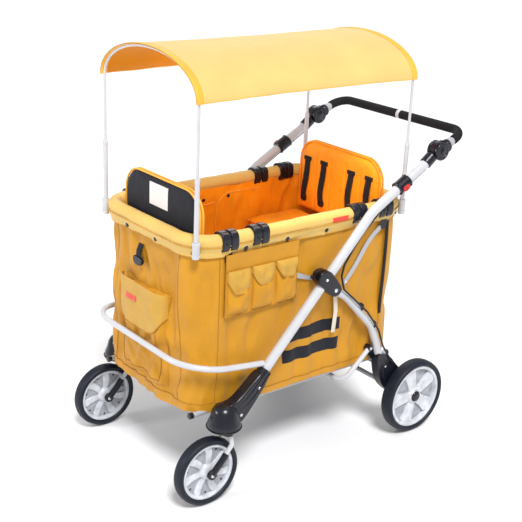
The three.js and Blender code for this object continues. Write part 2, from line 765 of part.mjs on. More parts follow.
function handleHead() {
  const core = jointCore / 2 + gap;
  const cheeks = [-1, 1].map((side) => {
    const x0 = side > 0 ? tubeX + core : tubeX - core - jointCheek;
    const disc = pin(jointRadius, x0, x0 + jointCheek, jointCentre, 16);
    const web = sidePlate([
      move(jointCentre, handleRise, 0, 17), move(jointCentre, handleRise, 0, -17),
      move(jointCentre, handleRise, gripSocket, -15), move(jointCentre, handleRise, gripSocket, 15),
    ], x0, x0 + jointCheek);
    return join(disc, web);
  });
  const neck = straightTube(atX(tubeX, [
    move(jointCentre, handleRise, jointRadius + 3), move(jointCentre, handleRise, 60),
  ]), gripTube + 6);
  const axle = pin(buttonRadius, tubeX - core - 2, tubeX + core - gap, jointCentre);
  const face = tubeX + core;
  const buttonRoom = pin(buttonRadius + free, face - gap / 2, face + jointCheek + 1, jointCentre);
  return join(cut(join(...cheeks, neck), buttonRoom, gripRoom()), axle);
}

const gripRoute = (start) => rounded([
  [tubeX, ...move(jointCentre, handleRise, start)], [tubeX, ...gripPlace],
  [-tubeX, ...gripPlace], [-tubeX, ...move(jointCentre, handleRise, start)],
], gripCorner, 3);

const gripRoom = () => tube(gripRoute(gripSocket - gap), gripTube + gap);
const handleTube = () => tube(gripRoute(gripSocket), gripTube);

// Half of the foam grip, with the tube bare at the middle.
function gripFoam() {
  const route = gripRoute(foamStart);
  const half = route.slice(0, route.length / 2);
  half.push(new THREE.Vector3(foamPart, ...gripPlace));
  return cut(tube(half, foamRadius), gripRoom());
}

function tiltButton() {
  const cheek = tubeX + jointCore / 2 + gap;
  return pin(buttonRadius, cheek + buttonTravel + gap, cheek + jointCheek + buttonProud, jointCentre);
}

function cableCollar() {
  const at = (along, across) => move(tubeHead, upper, along - collarBack, across);
  const shell = straightTube(atX(tubeX, [at(-collarLength / 2, 0), at(collarLength / 2, 0)]), collarRadius);
  const pad = sidePlate(
    [at(-21, 8), at(21, 8), at(21, -8), at(-21, -8)], tubeX + mainTube + 2, tubeX + collarRadius + 3);
  const reach = sliderTravel / 2 + 6 + gap;
  const slot = sidePlate([at(-reach, 4.3), at(reach, 4.3), at(reach, -4.3), at(-reach, -4.3)],
    tubeX + collarRadius - 1, tubeX + collarRadius + 9);
  const under = -mainTube + 1;
  const notch = sidePlate([
    at(-40, under), at(40, under), at(40, under - 16), at(-40, under - 16),
  ], tubeX - cableRadius - 1, tubeX + cableRadius + 1);
  return cut(join(shell, pad), slot, notch, mainTubeRoom());
}

function brakeSlider() {
  const at = (along, across) => move(tubeHead, upper, along - collarBack - sliderTravel / 2, across);
  const face = tubeX + collarRadius;
  const foot = sidePlate([at(-6, 4), at(6, 4), at(6, -4), at(-6, -4)], face - 1 + gap, face + 4);
  const tab = sidePlate([at(-10, 7), at(10, 7), at(10, -7), at(-10, -7)], face + 3 + gap, face + 8);
  return join(foot, tab);
}

// The brake cable follows the main tube, hangs in a loop beside the fold, then follows the leg.
function upperCable() {
  const rest = mainTube + cableRadius + gap;
  const route = [
    move(tubeHead, upper, -16, -rest), move(tubeBend, upper, 40, -rest),
    move(tubeBend, lower, -60, -rest - 1), move(tubeBend, lower, -120, -rest - 4),
    [116, 640], [108, 606],
  ];
  return tube(rounded(atX(tubeX, route), 12, 1), cableRadius, 6);
}

function lowerCable() {
  const x = legX + legTube + bracketProud + cableRadius + gap;
  const route = [[108, 596], [122, 560], [230, 462], [286, 388], [312, 326], [364, 250]];
  return tube(rounded(atX(x, route), 12, 1), cableRadius, 6);
}

// ---------------------------------------------------------------- assembly

const wagon = new THREE.Group();
wagon.name = 'wagon';

const frontEnd = frontCentre[0] - frontWheelRadius;
const rearEnd = gripPlace[0] + foamRadius;
const middle = (frontEnd + rearEnd) / 2;

function add(name, geometry, look) {
  const mesh = new THREE.Mesh(geometry, new THREE.MeshStandardMaterial(look));
  mesh.name = name;
  mesh.position.y = -middle;
  wagon.add(mesh);
}

function addPair(name, geometry, look) {
  add(`${name}_left`, geometry, look);
  add(`${name}_right`, mirrored(geometry), look);
}

addPair('main_tube', mainTubeSolid(), paint);
add('front_bumper', frontBumper(), paint);
addPair('caster_housing', casterHousing(), plastic);
addPair('fork', fork(), paint);
addPair('front_hub', frontHub(), wheelWhite);
addPair('front_tyre', tyre(frontWheelRadius, frontWheelWidth, tubeX, frontCentre, wheelSides), rubber);
addPair('rear_hub', rearHub(), wheelWhite);
addPair('rear_tyre', tyre(rearWheelRadius, rearWheelWidth, rearWheelX, rearCentre, wheelSides), rubber);
addPair('rear_leg', rearLeg(), paint);
add('rear_axle', rearAxle(), plastic);
add('link_bar', linkBar(), silver);
addPair('pivot_clamp', pivotClamp(), plastic);
addPair('front_strut', frontStrut(), silver);
addPair('rear_strut', rearStrut(), silver);
add('rim_frame', rimFrame(), paint);
addPair('rim_hinge_front', rimHinge(hingePlaces.front), plastic);
addPair('rim_hinge_rear', rimHinge(hingePlaces.rear), plastic);
add('cabin_fabric', cabinFabric(), yellow);
add('front_pocket', frontPocket(), yellow);
add('side_organiser', sideOrganiser(), yellow);
add('floor_board', floorBoard(), plastic);
add('floor_frame', floorFrame(), silver);
add('bench_front', bench(-1), orange);
add('bench_rear', bench(1), orange);
add('backrest_front', backrest(-1), orange);
add('backrest_rear', backrest(1), orange);
add('canopy_frame_front', canopyFrame(-1), paint);
add('canopy_frame_rear', canopyFrame(1), paint);
add('canopy_fabric', canopyFabric(), paleYellow);
addPair('handle_base', handleBase(), plastic);
addPair('handle_head', handleHead(), plastic);
add('handle_tube', handleTube(), silver);
addPair('grip_foam', gripFoam(), foam);
addPair('tilt_button', tiltButton(), plastic);
addPair('cable_collar', cableCollar(), plastic);
addPair('brake_slider', brakeSlider(), red);
addPair('brake_cable_upper', upperCable(), plastic);
addPair('brake_cable_lower', lowerCable(), plastic);

export default wagon;
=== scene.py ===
"""The looks of a folding children's wagon: painted tubes, moulded black fittings, spoked wheels,
a yellow fabric cabin with an orange lining, padded benches and backs, and an arched canopy.

Lengths are in millimetres, with y = 0 at the middle of the cabin; mm() turns them into the frame's metres.
"""

import json
import math

import bmesh
import bpy
from mathutils import Matrix, Vector
from mathutils import noise as perlin
from mathutils.bvhtree import BVHTree

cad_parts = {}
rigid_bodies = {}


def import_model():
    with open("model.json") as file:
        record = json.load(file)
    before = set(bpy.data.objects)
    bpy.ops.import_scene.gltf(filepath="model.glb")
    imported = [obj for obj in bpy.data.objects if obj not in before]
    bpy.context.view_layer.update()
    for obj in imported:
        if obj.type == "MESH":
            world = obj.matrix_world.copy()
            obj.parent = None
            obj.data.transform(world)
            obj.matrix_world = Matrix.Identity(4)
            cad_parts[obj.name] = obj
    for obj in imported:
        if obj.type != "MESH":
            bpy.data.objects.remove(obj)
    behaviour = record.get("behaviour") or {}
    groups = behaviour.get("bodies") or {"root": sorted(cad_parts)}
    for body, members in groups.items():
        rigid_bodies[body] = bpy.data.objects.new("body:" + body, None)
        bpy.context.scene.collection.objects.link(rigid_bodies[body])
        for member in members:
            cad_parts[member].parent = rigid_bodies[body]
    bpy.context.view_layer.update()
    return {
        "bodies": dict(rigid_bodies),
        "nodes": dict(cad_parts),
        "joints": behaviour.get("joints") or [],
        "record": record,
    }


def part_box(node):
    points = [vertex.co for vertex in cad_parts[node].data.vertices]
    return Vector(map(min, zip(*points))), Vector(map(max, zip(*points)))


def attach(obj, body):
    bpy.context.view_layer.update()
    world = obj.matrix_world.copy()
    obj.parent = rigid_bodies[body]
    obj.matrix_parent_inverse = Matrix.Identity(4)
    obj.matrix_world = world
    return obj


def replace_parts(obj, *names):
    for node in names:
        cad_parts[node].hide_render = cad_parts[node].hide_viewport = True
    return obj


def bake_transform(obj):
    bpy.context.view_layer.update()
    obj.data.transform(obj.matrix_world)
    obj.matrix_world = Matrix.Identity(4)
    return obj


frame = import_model()

# ------------------------------------------------------------------ sizes, as in the frame

rim_low, rim_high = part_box("rim_frame")
CABIN_Y = (rim_low.y + rim_high.y) / 2    # the cabin's middle, in metres

RIM_W, RIM_L, RIM_R, RIM_Z = 240, 395, 85, 780      # half width, half length, corner, height
ROLL = 22                                 # radius of the fabric roll round the rim tube
CABIN_LOW = 268
BAND_LOW = 738                            # lower edge of the band that the walls snap to
HINGES = {"front": (-294, -186), "rear": (192, 302)}
HINGE_HALF = 28

TUBE_X, TUBE_R = 286, 15                  # main side tubes
TUBE_FOOT, TUBE_BEND, TUBE_HEAD = (-177, 370), (215, 790), (437, 917)
LEG_X, LEG_R = 267, 13
FOLD = (75, 573)
LEG_ROUTE = [FOLD, (150, 525), (270, 400), (330, 249)]
STRUT_X = (247, 251)
STRUT_TOP = 726
LINK_PIVOT, LINK_CROSS = (270, 322), (165, 230)
BAR_R = 8

CASTER_Y, CROWN_Z, FORK_HALF = -316, 222, 30
FRONT_HUB, FRONT_R, FRONT_W = (-376, 105), 105, 38
REAR_HUB, REAR_R, REAR_W, REAR_X = (444, 125), 125, 46, 311
TYRE = 19                                 # depth of a tyre

JOINT, JOINT_R = (480, 947), 29
GRIP = (595, 992)
GRIP_CORNER = 50
FOAM_R = 14.5
COLLAR_BACK = 119                         # from the tube's head back to the middle of the collar

POLE_X, POLE_Y = 236, 393
POLE_STEP = 963
EAVE, RISE, OVERHANG = 1167, 111, 12

BENCH_TOP, BENCH_CUSHION = 652, 40
BENCH_FRONT, BENCH_BACK, BENCH_W = 130, 350, 222
BACK_FACE, BACK_THICK, BACK_W, BACK_TOP, BACK_R = 352, 18, 192, 905, 70

SIDES = {"left": 1, "right": -1}
ENDS = {"front": -1, "rear": 1}


def noise_at(place):
    return perlin.noise(Vector(place))


def mm(x, y, z):
    return Vector((x / 1000, y / 1000 + CABIN_Y, z / 1000))


# ------------------------------------------------------------------ materials


def shader(name, roughness, metallic=0.0):
    made = bpy.data.materials.new(name)
    made.use_nodes = True
    surface = made.node_tree.nodes["Principled BSDF"]
    surface.inputs["Roughness"].default_value = roughness
    surface.inputs["Metallic"].default_value = metallic
    return made, made.node_tree, surface


def noise(tree, scale, detail=3.0, stretch=(1, 1, 1), kind="FBM"):
    place = tree.nodes.new("ShaderNodeTexCoord")
    size = tree.nodes.new("ShaderNodeMapping")
    size.inputs["Scale"].default_value = stretch
    made = tree.nodes.new("ShaderNodeTexNoise")
    made.noise_type = kind
    made.inputs["Scale"].default_value = scale
    made.inputs["Detail"].default_value = detail
    tree.links.new(place.outputs["Object"], size.inputs["Vector"])
    tree.links.new(size.outputs["Vector"], made.inputs["Vector"])
    return made.outputs["Fac"]


def wave(tree, direction, pitch):
    place = tree.nodes.new("ShaderNodeTexCoord")
    made = tree.nodes.new("ShaderNodeTexWave")
    made.bands_direction = direction
    made.inputs["Scale"].default_value = 0.314 / pitch
    tree.links.new(place.outputs["Object"], made.inputs["Vector"])
    return made.outputs["Fac"]


def vary(tree, source, low, high, target):
    """A colour that moves between two shades with a texture."""
    ramp = tree.nodes.new("ShaderNodeValToRGB")
    ramp.color_ramp.elements[0].position = 0.3
    ramp.color_ramp.elements[1].position = 0.7
    ramp.color_ramp.elements[0].color = (*low, 1)
    ramp.color_ramp.elements[1].color = (*high, 1)
    tree.links.new(source, ramp.inputs["Fac"])
    tree.links.new(ramp.outputs["Color"], target)


def bump(tree, surface, source, distance, strength):
    """One more layer of relief, under any that is there already."""
    made = tree.nodes.new("ShaderNodeBump")
    made.inputs["Distance"].default_value = distance
    made.inputs["Strength"].default_value = strength
    tree.links.new(source, made.inputs["Height"])
    there = surface.inputs["Normal"].links
    if there:
        tree.links.new(there[0].from_socket, made.inputs["Normal"])
    tree.links.new(made.outputs["Normal"], surface.inputs["Normal"])


def rough_between(tree, surface, source, low, high):
    span = tree.nodes.new("ShaderNodeMapRange")
    span.inputs["To Min"].default_value = low
    span.inputs["To Max"].default_value = high
    tree.links.new(source, span.inputs["Value"])
    tree.links.new(span.outputs["Result"], surface.inputs["Roughness"])


def shades(colour, spread):
    return tuple(c * (1 - spread) for c in colour), tuple(min(1, c * (1 + spread)) for c in colour)


def fabric(name, colour, spread=0.06, wrinkle=0.0016, weave=0.0012, sheen=0.25, roughness=0.5):
    made, tree, surface = shader(name, roughness)
    surface.inputs["Sheen Weight"].default_value = sheen
    surface.inputs["Sheen Roughness"].default_value = 0.5
    surface.inputs["Specular IOR Level"].default_value = 0.3
    vary(tree, noise(tree, 11, 4), *shades(colour, spread), surface.inputs["Base Color"])
    bump(tree, surface, noise(tree, 8, 5, (1, 1, 0.45)), wrinkle * 5, 0.9)
    bump(tree, surface, noise(tree, 14, 2, (1, 1, 0.5), "RIDGED_MULTIFRACTAL"), wrinkle * 1.6, 0.8)
    bump(tree, surface, noise(tree, 38, 3), wrinkle * 0.8, 0.7)
    for direction in "XYZ":
        bump(tree, surface, wave(tree, direction, weave), 0.00012, 0.35)
    return made


def paint(name, colour, roughness):
    made, tree, surface = shader(name, roughness)
    surface.inputs["Coat Weight"].default_value = 0.35
    surface.inputs["Coat Roughness"].default_value = 0.12
    vary(tree, noise(tree, 30), *shades(colour, 0.025), surface.inputs["Base Color"])
    rough_between(tree, surface, noise(tree, 60), roughness - 0.06, roughness + 0.08)
    bump(tree, surface, noise(tree, 900, 2), 0.00004, 0.5)
    return made


def plastic(name, colour, roughness, grain=0.00006, specular=0.5):
    made, tree, surface = shader(name, roughness)
    surface.inputs["Specular IOR Level"].default_value = specular
    vary(tree, noise(tree, 45), *shades(colour, 0.18), surface.inputs["Base Color"])
    rough_between(tree, surface, noise(tree, 80), roughness - 0.08, roughness + 0.1)
    bump(tree, surface, noise(tree, 1400, 2), grain, 0.6)
    return made


def metal(name, colour):
    roughness = 0.3
    made, tree, surface = shader(name, roughness, 1.0)
    vary(tree, noise(tree, 60), *shades(colour, 0.06), surface.inputs["Base Color"])
    rough_between(tree, surface, noise(tree, 140, 2, (1, 14, 14)), roughness - 0.08, roughness + 0.1)
    bump(tree, surface, noise(tree, 700, 2, (1, 16, 16)), 0.00002, 0.5)
    return made


YELLOW = fabric("yellow_cloth", (0.55, 0.25, 0.009), sheen=0.08)
# Seam yellow: the walls' own yellow darkened as painted shade, standing for the shade in the creases along
# seams and piping.
SEAM_SHADE_YELLOW = fabric("seam_cloth_painted_shade", (0.40, 0.175, 0.009), wrinkle=0.0004, sheen=0.05)
RIM_YELLOW = fabric("rim_cloth", (0.68, 0.45, 0.12), wrinkle=0.0012, sheen=0.1)
CANOPY_YELLOW = fabric("canopy_cloth", (0.74, 0.51, 0.17), spread=0.04, wrinkle=0.0014, sheen=0.15,
                       roughness=0.65)
CANOPY_UNDER = fabric("canopy_under", (0.66, 0.25, 0.006), spread=0.04, wrinkle=0.0008, sheen=0.05)
# Flap yellow: the walls' cloth, made paler and lighter with a painted highlight for the light that the
# puffed flaps catch.
FLAP_LIT_YELLOW = fabric("flap_cloth_painted_highlight", (0.53, 0.30, 0.042), sheen=0.08)
HEM_YELLOW = fabric("hem_cloth", (0.86, 0.44, 0.05), wrinkle=0.0005, sheen=0.1)
ORANGE = fabric("orange_lining", (0.92, 0.32, 0.003), spread=0.08, wrinkle=0.0022, sheen=0.05)
ORANGE_PIPE = fabric("orange_piping", (0.95, 0.42, 0.05), wrinkle=0.0003, sheen=0.1)
BLACK_CLOTH = fabric("black_cloth", (0.010, 0.011, 0.018), spread=0.2, sheen=0.05, roughness=0.75)
WEBBING = fabric("black_webbing", (0.010, 0.010, 0.012), spread=0.2, wrinkle=0.0002, weave=0.0022,
                 sheen=0.03, roughness=0.75)
CREAM_WEB = fabric("cream_webbing", (0.66, 0.60, 0.48), wrinkle=0.0002, weave=0.0022)
LABEL = fabric("plain_label", (0.80, 0.78, 0.76), wrinkle=0.0002)
RED_TAB = fabric("red_tab", (0.70, 0.045, 0.02), wrinkle=0.0002)
WHITE = paint("white_paint", (0.54, 0.55, 0.58), 0.24)
GREY = paint("grey_paint", (0.40, 0.41, 0.44), 0.30)
BLACK = plastic("black_plastic", (0.006, 0.007, 0.013), 0.24, specular=0.45)
RUBBER = plastic("tyre_rubber", (0.008, 0.011, 0.020), 0.5, 0.00012, 0.3)
FOAM = plastic("grip_foam", (0.008, 0.008, 0.010), 0.75, 0.0003, 0.25)
SHEATH = plastic("cable_sheath", (0.008, 0.008, 0.010), 0.42, specular=0.35)
HUB = plastic("hub_plastic", (0.58, 0.60, 0.64), 0.30)
# Recess grey: the hub's pale plastic darkened as painted shade in the recessed webs between the spokes and
# blades.
HUB_RECESS_SHADE = plastic("hub_recess_painted_shade", (0.33, 0.34, 0.38), 0.45)
RED = plastic("red_plastic", (0.55, 0.015, 0.012), 0.3)
STEEL = metal("bright_steel", (0.75, 0.76, 0.78))


# ------------------------------------------------------------------ mesh making


def piece(name, points, faces, look, body="chassis", smooth_angle=35, slot=None):
    """A mesh object that rides on a CAD body; its slot argument is not used."""
    mesh = bpy.data.meshes.new(name)
    mesh.from_pydata([tuple(p) for p in points], [], faces)
    shell = bmesh.new()
    shell.from_mesh(mesh)
    bmesh.ops.remove_doubles(shell, verts=shell.verts, dist=1e-6)
    bmesh.ops.recalc_face_normals(shell, faces=shell.faces)
    shell.to_mesh(mesh)
    shell.free()
    mesh.polygons.foreach_set("use_smooth", [True] * len(mesh.polygons))
    mesh.set_sharp_from_angle(angle=math.radians(smooth_angle))
    made = bpy.data.objects.new(name, mesh)
    bpy.context.scene.collection.objects.link(made)
    made.data.materials.append(look)
    if body:
        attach(made, body)
    return made


def bevel(made, width, segments):
    edge = made.modifiers.new("edge", "BEVEL")
    edge.width = width / 1000
    edge.segments = segments
    edge.limit_method = "ANGLE"
    edge.angle_limit = math.radians(32)
    edge.harden_normals = True
    return made


def bend_route(corners, bend, steps):
    """Corner points with every inner one rounded to the bend radius."""
    points = [Vector(c) for c in corners]
    route = [points[0]]
    for before, here, after in zip(points, points[1:], points[2:]):
        back = (before - here).normalized()
        on = (after - here).normalized()
        half = back.angle(on) / 2
        centre = here + (back + on).normalized() * bend / math.sin(half)
        start = here + back * bend / math.tan(half) - centre
        end = here + on * bend / math.tan(half) - centre
        turned = [start.normalized().slerp(end.normalized(), k / steps) for k in range(steps + 1)]
        route += [centre + way * bend for way in turned]
    return route + [points[-1]]


def side(x, points):
    return [(x, y, z) for y, z in points]


def rings_along(route, section_at):
    """Cross sections carried along a route without twisting."""
    route = [Vector(p) for p in route]
    first = (route[1] - route[0]).normalized()
    across = first.orthogonal().normalized()
    rings = []
    for i, point in enumerate(route):
        ahead = route[min(i + 1, len(route) - 1)] - route[max(i - 1, 0)]
        ahead.normalize()
        across = (across - ahead * across.dot(ahead)).normalized()
        up = ahead.cross(across)
        rings.append([point + across * a + up * b for a, b in section_at(i)])
    return rings


def skin(rings, closed=True, caps=True):
    """Points and faces of a surface through rings of equal length."""
    width = len(rings[0])
    points = [p for ring in rings for p in ring]
    faces = []
    for i in range(len(rings) - 1):
        for k in range(width if closed else width - 1):
            n = (k + 1) % width
            faces.append((i * width + k, i * width + n, (i + 1) * width + n, (i + 1) * width + k))
    if caps and closed:
        faces.append(tuple(range(width)))
        faces.append(tuple(range((len(rings) - 1) * width, len(rings) * width)))
    return points, faces


def circle(radius, count):
    return [(radius * math.cos(2 * math.pi * k / count), radius * math.sin(2 * math.pi * k / count))
            for k in range(count)]


def tube(name, route, radius, look, body="chassis", count=24, slot=None):
    """A round bar along a route in millimetres, with softened ends."""
    route = [Vector(p) for p in route]
    lip = min(radius * 0.25, 1.5)
    start = (route[1] - route[0]).normalized() * lip
    end = (route[-1] - route[-2]).normalized() * lip
    line = [route[0], route[0] + start, *route[1:-1], route[-1] - end, route[-1]]
    sizes = [radius - lip] + [radius] * (len(line) - 2) + [radius - lip]
    rings = rings_along(line, lambda i: circle(sizes[i], count))
    points, faces = skin(rings)
    return piece(name, [mm(*p) for p in points], faces, look, body, slot=slot)


def turn(name, profile, centre, look, body="chassis", axis="X", count=56, flip=1, slot=None):
    """A turned part: its profile lists (radius, distance along the X or Z axis)."""
    x, y, z = centre
    rings = []
    for k in range(count):
        angle = 2 * math.pi * k / count
        c, s = math.cos(angle), math.sin(angle)
        if axis == "X":
            rings.append([mm(x + flip * a, y + r * c, z + r * s) for r, a in profile])
        else:
            rings.append([mm(x + r * c, y + r * s, z + a) for r, a in profile])
    points, faces = skin(rings + [rings[0]], closed=profile[0] == profile[-1], caps=False)
    return piece(name, points, faces, look, body, smooth_angle=38, slot=slot)


def plate(name, outline, near, far, look, body="chassis", plane="yz", edge=1.5, segments=3, slot=None):
    """A flat part with a drawn outline and rounded edges, between two places across its plane."""
    low, high = sorted((near, far))
    put = {
        "yz": lambda a, b, t: mm(t, a, b),
        "xz": lambda a, b, t: mm(a, t, b),
        "xy": lambda a, b, t: mm(a, b, t),
    }[plane]
    count = len(outline)
    points = [put(a, b, low) for a, b in outline] + [put(a, b, high) for a, b in outline]
    faces = [tuple(range(count)), tuple(range(count, 2 * count))]
    faces += [(k, (k + 1) % count, count + (k + 1) % count, count + k) for k in range(count)]
    made = piece(name, points, faces, look, body, slot=slot)
    return bevel(made, edge, segments) if edge else made


def soften(outline, rounds):
    """Corners cut into curves."""
    for _ in range(rounds):
        cut = []
        for a, b in zip(outline, outline[1:] + outline[:1]):
            cut.append((a[0] * 0.75 + b[0] * 0.25, a[1] * 0.75 + b[1] * 0.25))
            cut.append((a[0] * 0.25 + b[0] * 0.75, a[1] * 0.25 + b[1] * 0.75))
        outline = cut
    return outline


def heading(a, b):
    length = math.hypot(b[0] - a[0], b[1] - a[1])
    return (b[0] - a[0]) / length, (b[1] - a[1]) / length


LOWER = heading(TUBE_FOOT, TUBE_BEND)
UPPER = heading(TUBE_BEND, TUBE_HEAD)
GRIP_RISE = heading(JOINT, GRIP)


def move(point, direction, along, across=0):
    return (point[0] + direction[0] * along - direction[1] * across,
            point[1] + direction[1] * along + direction[0] * across)


def bar_outline(line, half):
    left, right = [], []
    for i, point in enumerate(line):
        way = heading(line[max(i - 1, 0)], line[min(i + 1, len(line) - 1)])
        left.append(move(point, way, 0, half))
        right.insert(0, move(point, way, 0, -half))
    return left + right


def screw(name, x, at, radius, body="chassis", way=1, look=STEEL):
    """A domed screw head with a round recess, facing along X."""
    head = [(0, 0.6), (radius * 0.45, 0.6), (radius * 0.5, 1.8), (radius * 0.85, 1.4), (radius, 0.4),
            (radius, -1), (0, -1)]
    return turn(name, head, (x, *at), look, body, count=20, flip=way, slot="grey_metal")


# ------------------------------------------------------------------ the rim's rounded rectangle


def rim_point(turnover, offset):
    """A point round the rim, from 0 to 1, starting at the middle of the front and going to +X."""
    w, l, r = RIM_W, RIM_L, RIM_R
    arc = math.pi / 2 * r
    runs = [w - r, arc, 2 * (l - r), arc, 2 * (w - r), arc, 2 * (l - r), arc, w - r]
    place = (turnover % 1.0) * sum(runs)
    centres = {1: (w - r, -l + r, -90), 3: (w - r, l - r, 0), 5: (-w + r, l - r, 90),
               7: (-w + r, -l + r, 180)}
    starts = {0: (0, -l, 1, 0), 2: (w, -l + r, 0, 1), 4: (w - r, l, -1, 0), 6: (-w, l - r, 0, -1),
              8: (-w + r, -l, 1, 0)}
    for i, run in enumerate(runs):
        if place <= run or i == 8:
            break
        place -= run
    if i % 2:
        cx, cy, first = centres[i]
        angle = math.radians(first) + place / r
        out = (math.cos(angle), math.sin(angle))
        return cx + out[0] * (r + offset), cy + out[1] * (r + offset), out
    x, y, dx, dy = starts[i]
    out = (dy, -dx)
    return x + dx * place + out[0] * offset, y + dy * place + out[1] * offset, out


def round_rim(name, section_at, look, steps=400):
    """A section of (outward, z) points carried round the rim; it may change with the share of the way."""
    rings = []
    for k in range(steps + 1):
        share = k / steps
        ring = []
        for out, z in section_at(share % 1.0):
            x, y, _ = rim_point(share, out)
            ring.append(mm(x, y, z))
        rings.append(ring)
    points, faces = skin(rings, caps=False)
    piece(name, points, faces, look, smooth_angle=60)


# ------------------------------------------------------------------ camera, floor and light


def camera():
    # Solved from the photograph's straight edges and circles.
    yaw, pitch, roll = math.radians(-50.78), math.radians(20.2), math.radians(2.56)
    ahead = Vector((math.sin(yaw) * math.cos(pitch), math.cos(yaw) * math.cos(pitch), -math.sin(pitch)))
    level = ahead.cross(Vector((0, 0, 1))).normalized()
    above = level.cross(ahead)
    right = level * math.cos(roll) + above * math.sin(roll)
    up = above * math.cos(roll) - level * math.sin(roll)
    lens = bpy.data.cameras.new("view")
    lens.lens = 73.34
    lens.sensor_width = 36
    made = bpy.data.objects.new("view", lens)
    made.matrix_world = Matrix((
        (right.x, up.x, -ahead.x, 2.4370),
        (right.y, up.y, -ahead.y, CABIN_Y - 1.9615),
        (right.z, up.z, -ahead.z, 1.7379),
        (0, 0, 0, 1),
    ))
    bpy.context.scene.collection.objects.link(made)
    bpy.context.scene.camera = made


def light(name, place, aim, size, power):
    lamp = bpy.data.lights.new(name, "AREA")
    lamp.size = size
    lamp.energy = power
    made = bpy.data.objects.new(name, lamp)
    made.location = place
    made.rotation_euler = (Vector(aim) - Vector(place)).to_track_quat("-Z", "Y").to_euler()
    made.visible_camera = False
    bpy.context.scene.collection.objects.link(made)


def studio():
    made, tree, surface = shader("floor_paper", 0.55)
    vary(tree, noise(tree, 0.6), (0.86, 0.86, 0.87), (0.89, 0.89, 0.90), surface.inputs["Base Color"])
    size = 30
    mesh = bpy.data.meshes.new("floor")
    mesh.from_pydata([(-size, -size, 0), (size, -size, 0), (size, size, 0), (-size, size, 0)], [],
                     [(0, 1, 2, 3)])
    floor = bpy.data.objects.new("floor", mesh)
    floor.data.materials.append(made)
    bpy.context.scene.collection.objects.link(floor)
    world = bpy.data.worlds.new("studio")
    world.use_nodes = True
    world.node_tree.nodes["Background"].inputs["Color"].default_value = (1, 1, 1, 1)
    world.node_tree.nodes["Background"].inputs["Strength"].default_value = 0.60
    bpy.context.scene.world = world
    sky = bpy.data.lights.new("sky", "SUN")
    sky.energy = 3.0
    sky.angle = math.radians(16)
    lamp = bpy.data.objects.new("sky", sky)
    lamp.rotation_euler = Vector((-0.75, 0.35, -1.2)).to_track_quat("-Z", "Y").to_euler()
    bpy.context.scene.collection.objects.link(lamp)
    light("key", (-0.9, -2.6, 1.3), (0, 0.05, 0.6), 0.4, 16)
    light("rim", (-2.4, 1.6, 2.4), (0, 0, 0.8), 1.6, 16)
    light("inside", (0.16, -0.10, 1.10), (-0.24, 0.02, 0.60), 0.35, 1.5)
    bpy.context.scene.view_settings.view_transform = "Standard"


camera()
studio()

# ------------------------------------------------------------------ wheels


def tyre(name, centre, x, radius, width, body, node):
    half = width / 2
    inner = radius - TYRE
    crown = []
    for k in range(13):                       # a round crown with fine ribs
        angle = math.pi * k / 12
        rib = -1.2 if k in (4, 6, 8) else 0
        crown.append((inner + 7 + (TYRE - 7) * math.sin(angle) ** 0.6 + rib, half * math.cos(angle)))
    profile = [(inner + 0.4, -half + 6), (inner + 0.4, half - 6), (inner + 4, half - 1), *crown,
               (inner + 4, -half + 1), (inner + 0.4, -half + 6)]
    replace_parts(turn(name, profile, (x, *centre), RUBBER, body, count=96), node)


def around(centre, outline, count, turned=0.0):
    """Copies of an outline, drawn with its hub at 0, 0 and its reach along +z, turned about a hub."""
    for k in range(count):
        angle = 2 * math.pi * k / count + turned
        c, s = math.cos(angle), math.sin(angle)
        yield [(centre[0] + a * c - b * s, centre[1] + a * s + b * c) for a, b in outline]


def front_wheel(label, s):
    body = f"front_wheel_{label}"
    x, reach = TUBE_X * s, FRONT_R - TYRE
    tyre(f"front_tyre_rubber_{label}", FRONT_HUB, x, FRONT_R, FRONT_W, body, f"front_tyre_{label}")
    rim = [(reach, -13), (reach, 13), (reach - 5, 14), (reach - 9, 11), (reach - 10, 4), (reach - 10, -4),
           (reach - 9, -11), (reach - 5, -14), (reach, -13)]
    hub = turn(f"front_rim_{label}", rim, (x, *FRONT_HUB), HUB, body)
    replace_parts(hub, f"front_hub_{label}")
    web = [(24, -2), (24, 2), (reach - 8, 2.5), (reach - 8, -2.5), (24, -2)]
    # The recessed web is drawn in the recess grey, painted shade on the hub's pale plastic.
    turn(f"front_web_{label}", web, (x, *FRONT_HUB), HUB_RECESS_SHADE, body)
    boss = [(5.5, -15), (5.5, 15), (17, 15), (21, 12), (26, 7), (27, 0), (26, -7), (21, -12), (17, -15),
            (5.5, -15)]
    turn(f"front_boss_{label}", boss, (x, *FRONT_HUB), HUB, body)
    blade = [(-7, 20), (9, 20), (17, 45), (15, reach - 7), (-11, reach - 7), (-4, 50)]
    for k, outline in enumerate(around(FRONT_HUB, soften(blade, 1), 7)):
        plate(f"front_blade_{label}_{k}", outline, x - 7, x + 7, HUB, body, edge=2.5)
    # The small holes in the hub are black discs: painted shade where the holes show through.
    hole = [(3 * math.cos(a / 2), reach - 16 + 4 * math.sin(a / 2)) for a in range(12)]
    for k, outline in enumerate(around(FRONT_HUB, hole, 7, 0.42)):
        plate(f"front_hole_{label}_{k}", outline, x - 3, x + 3, BLACK, body, edge=0.3)


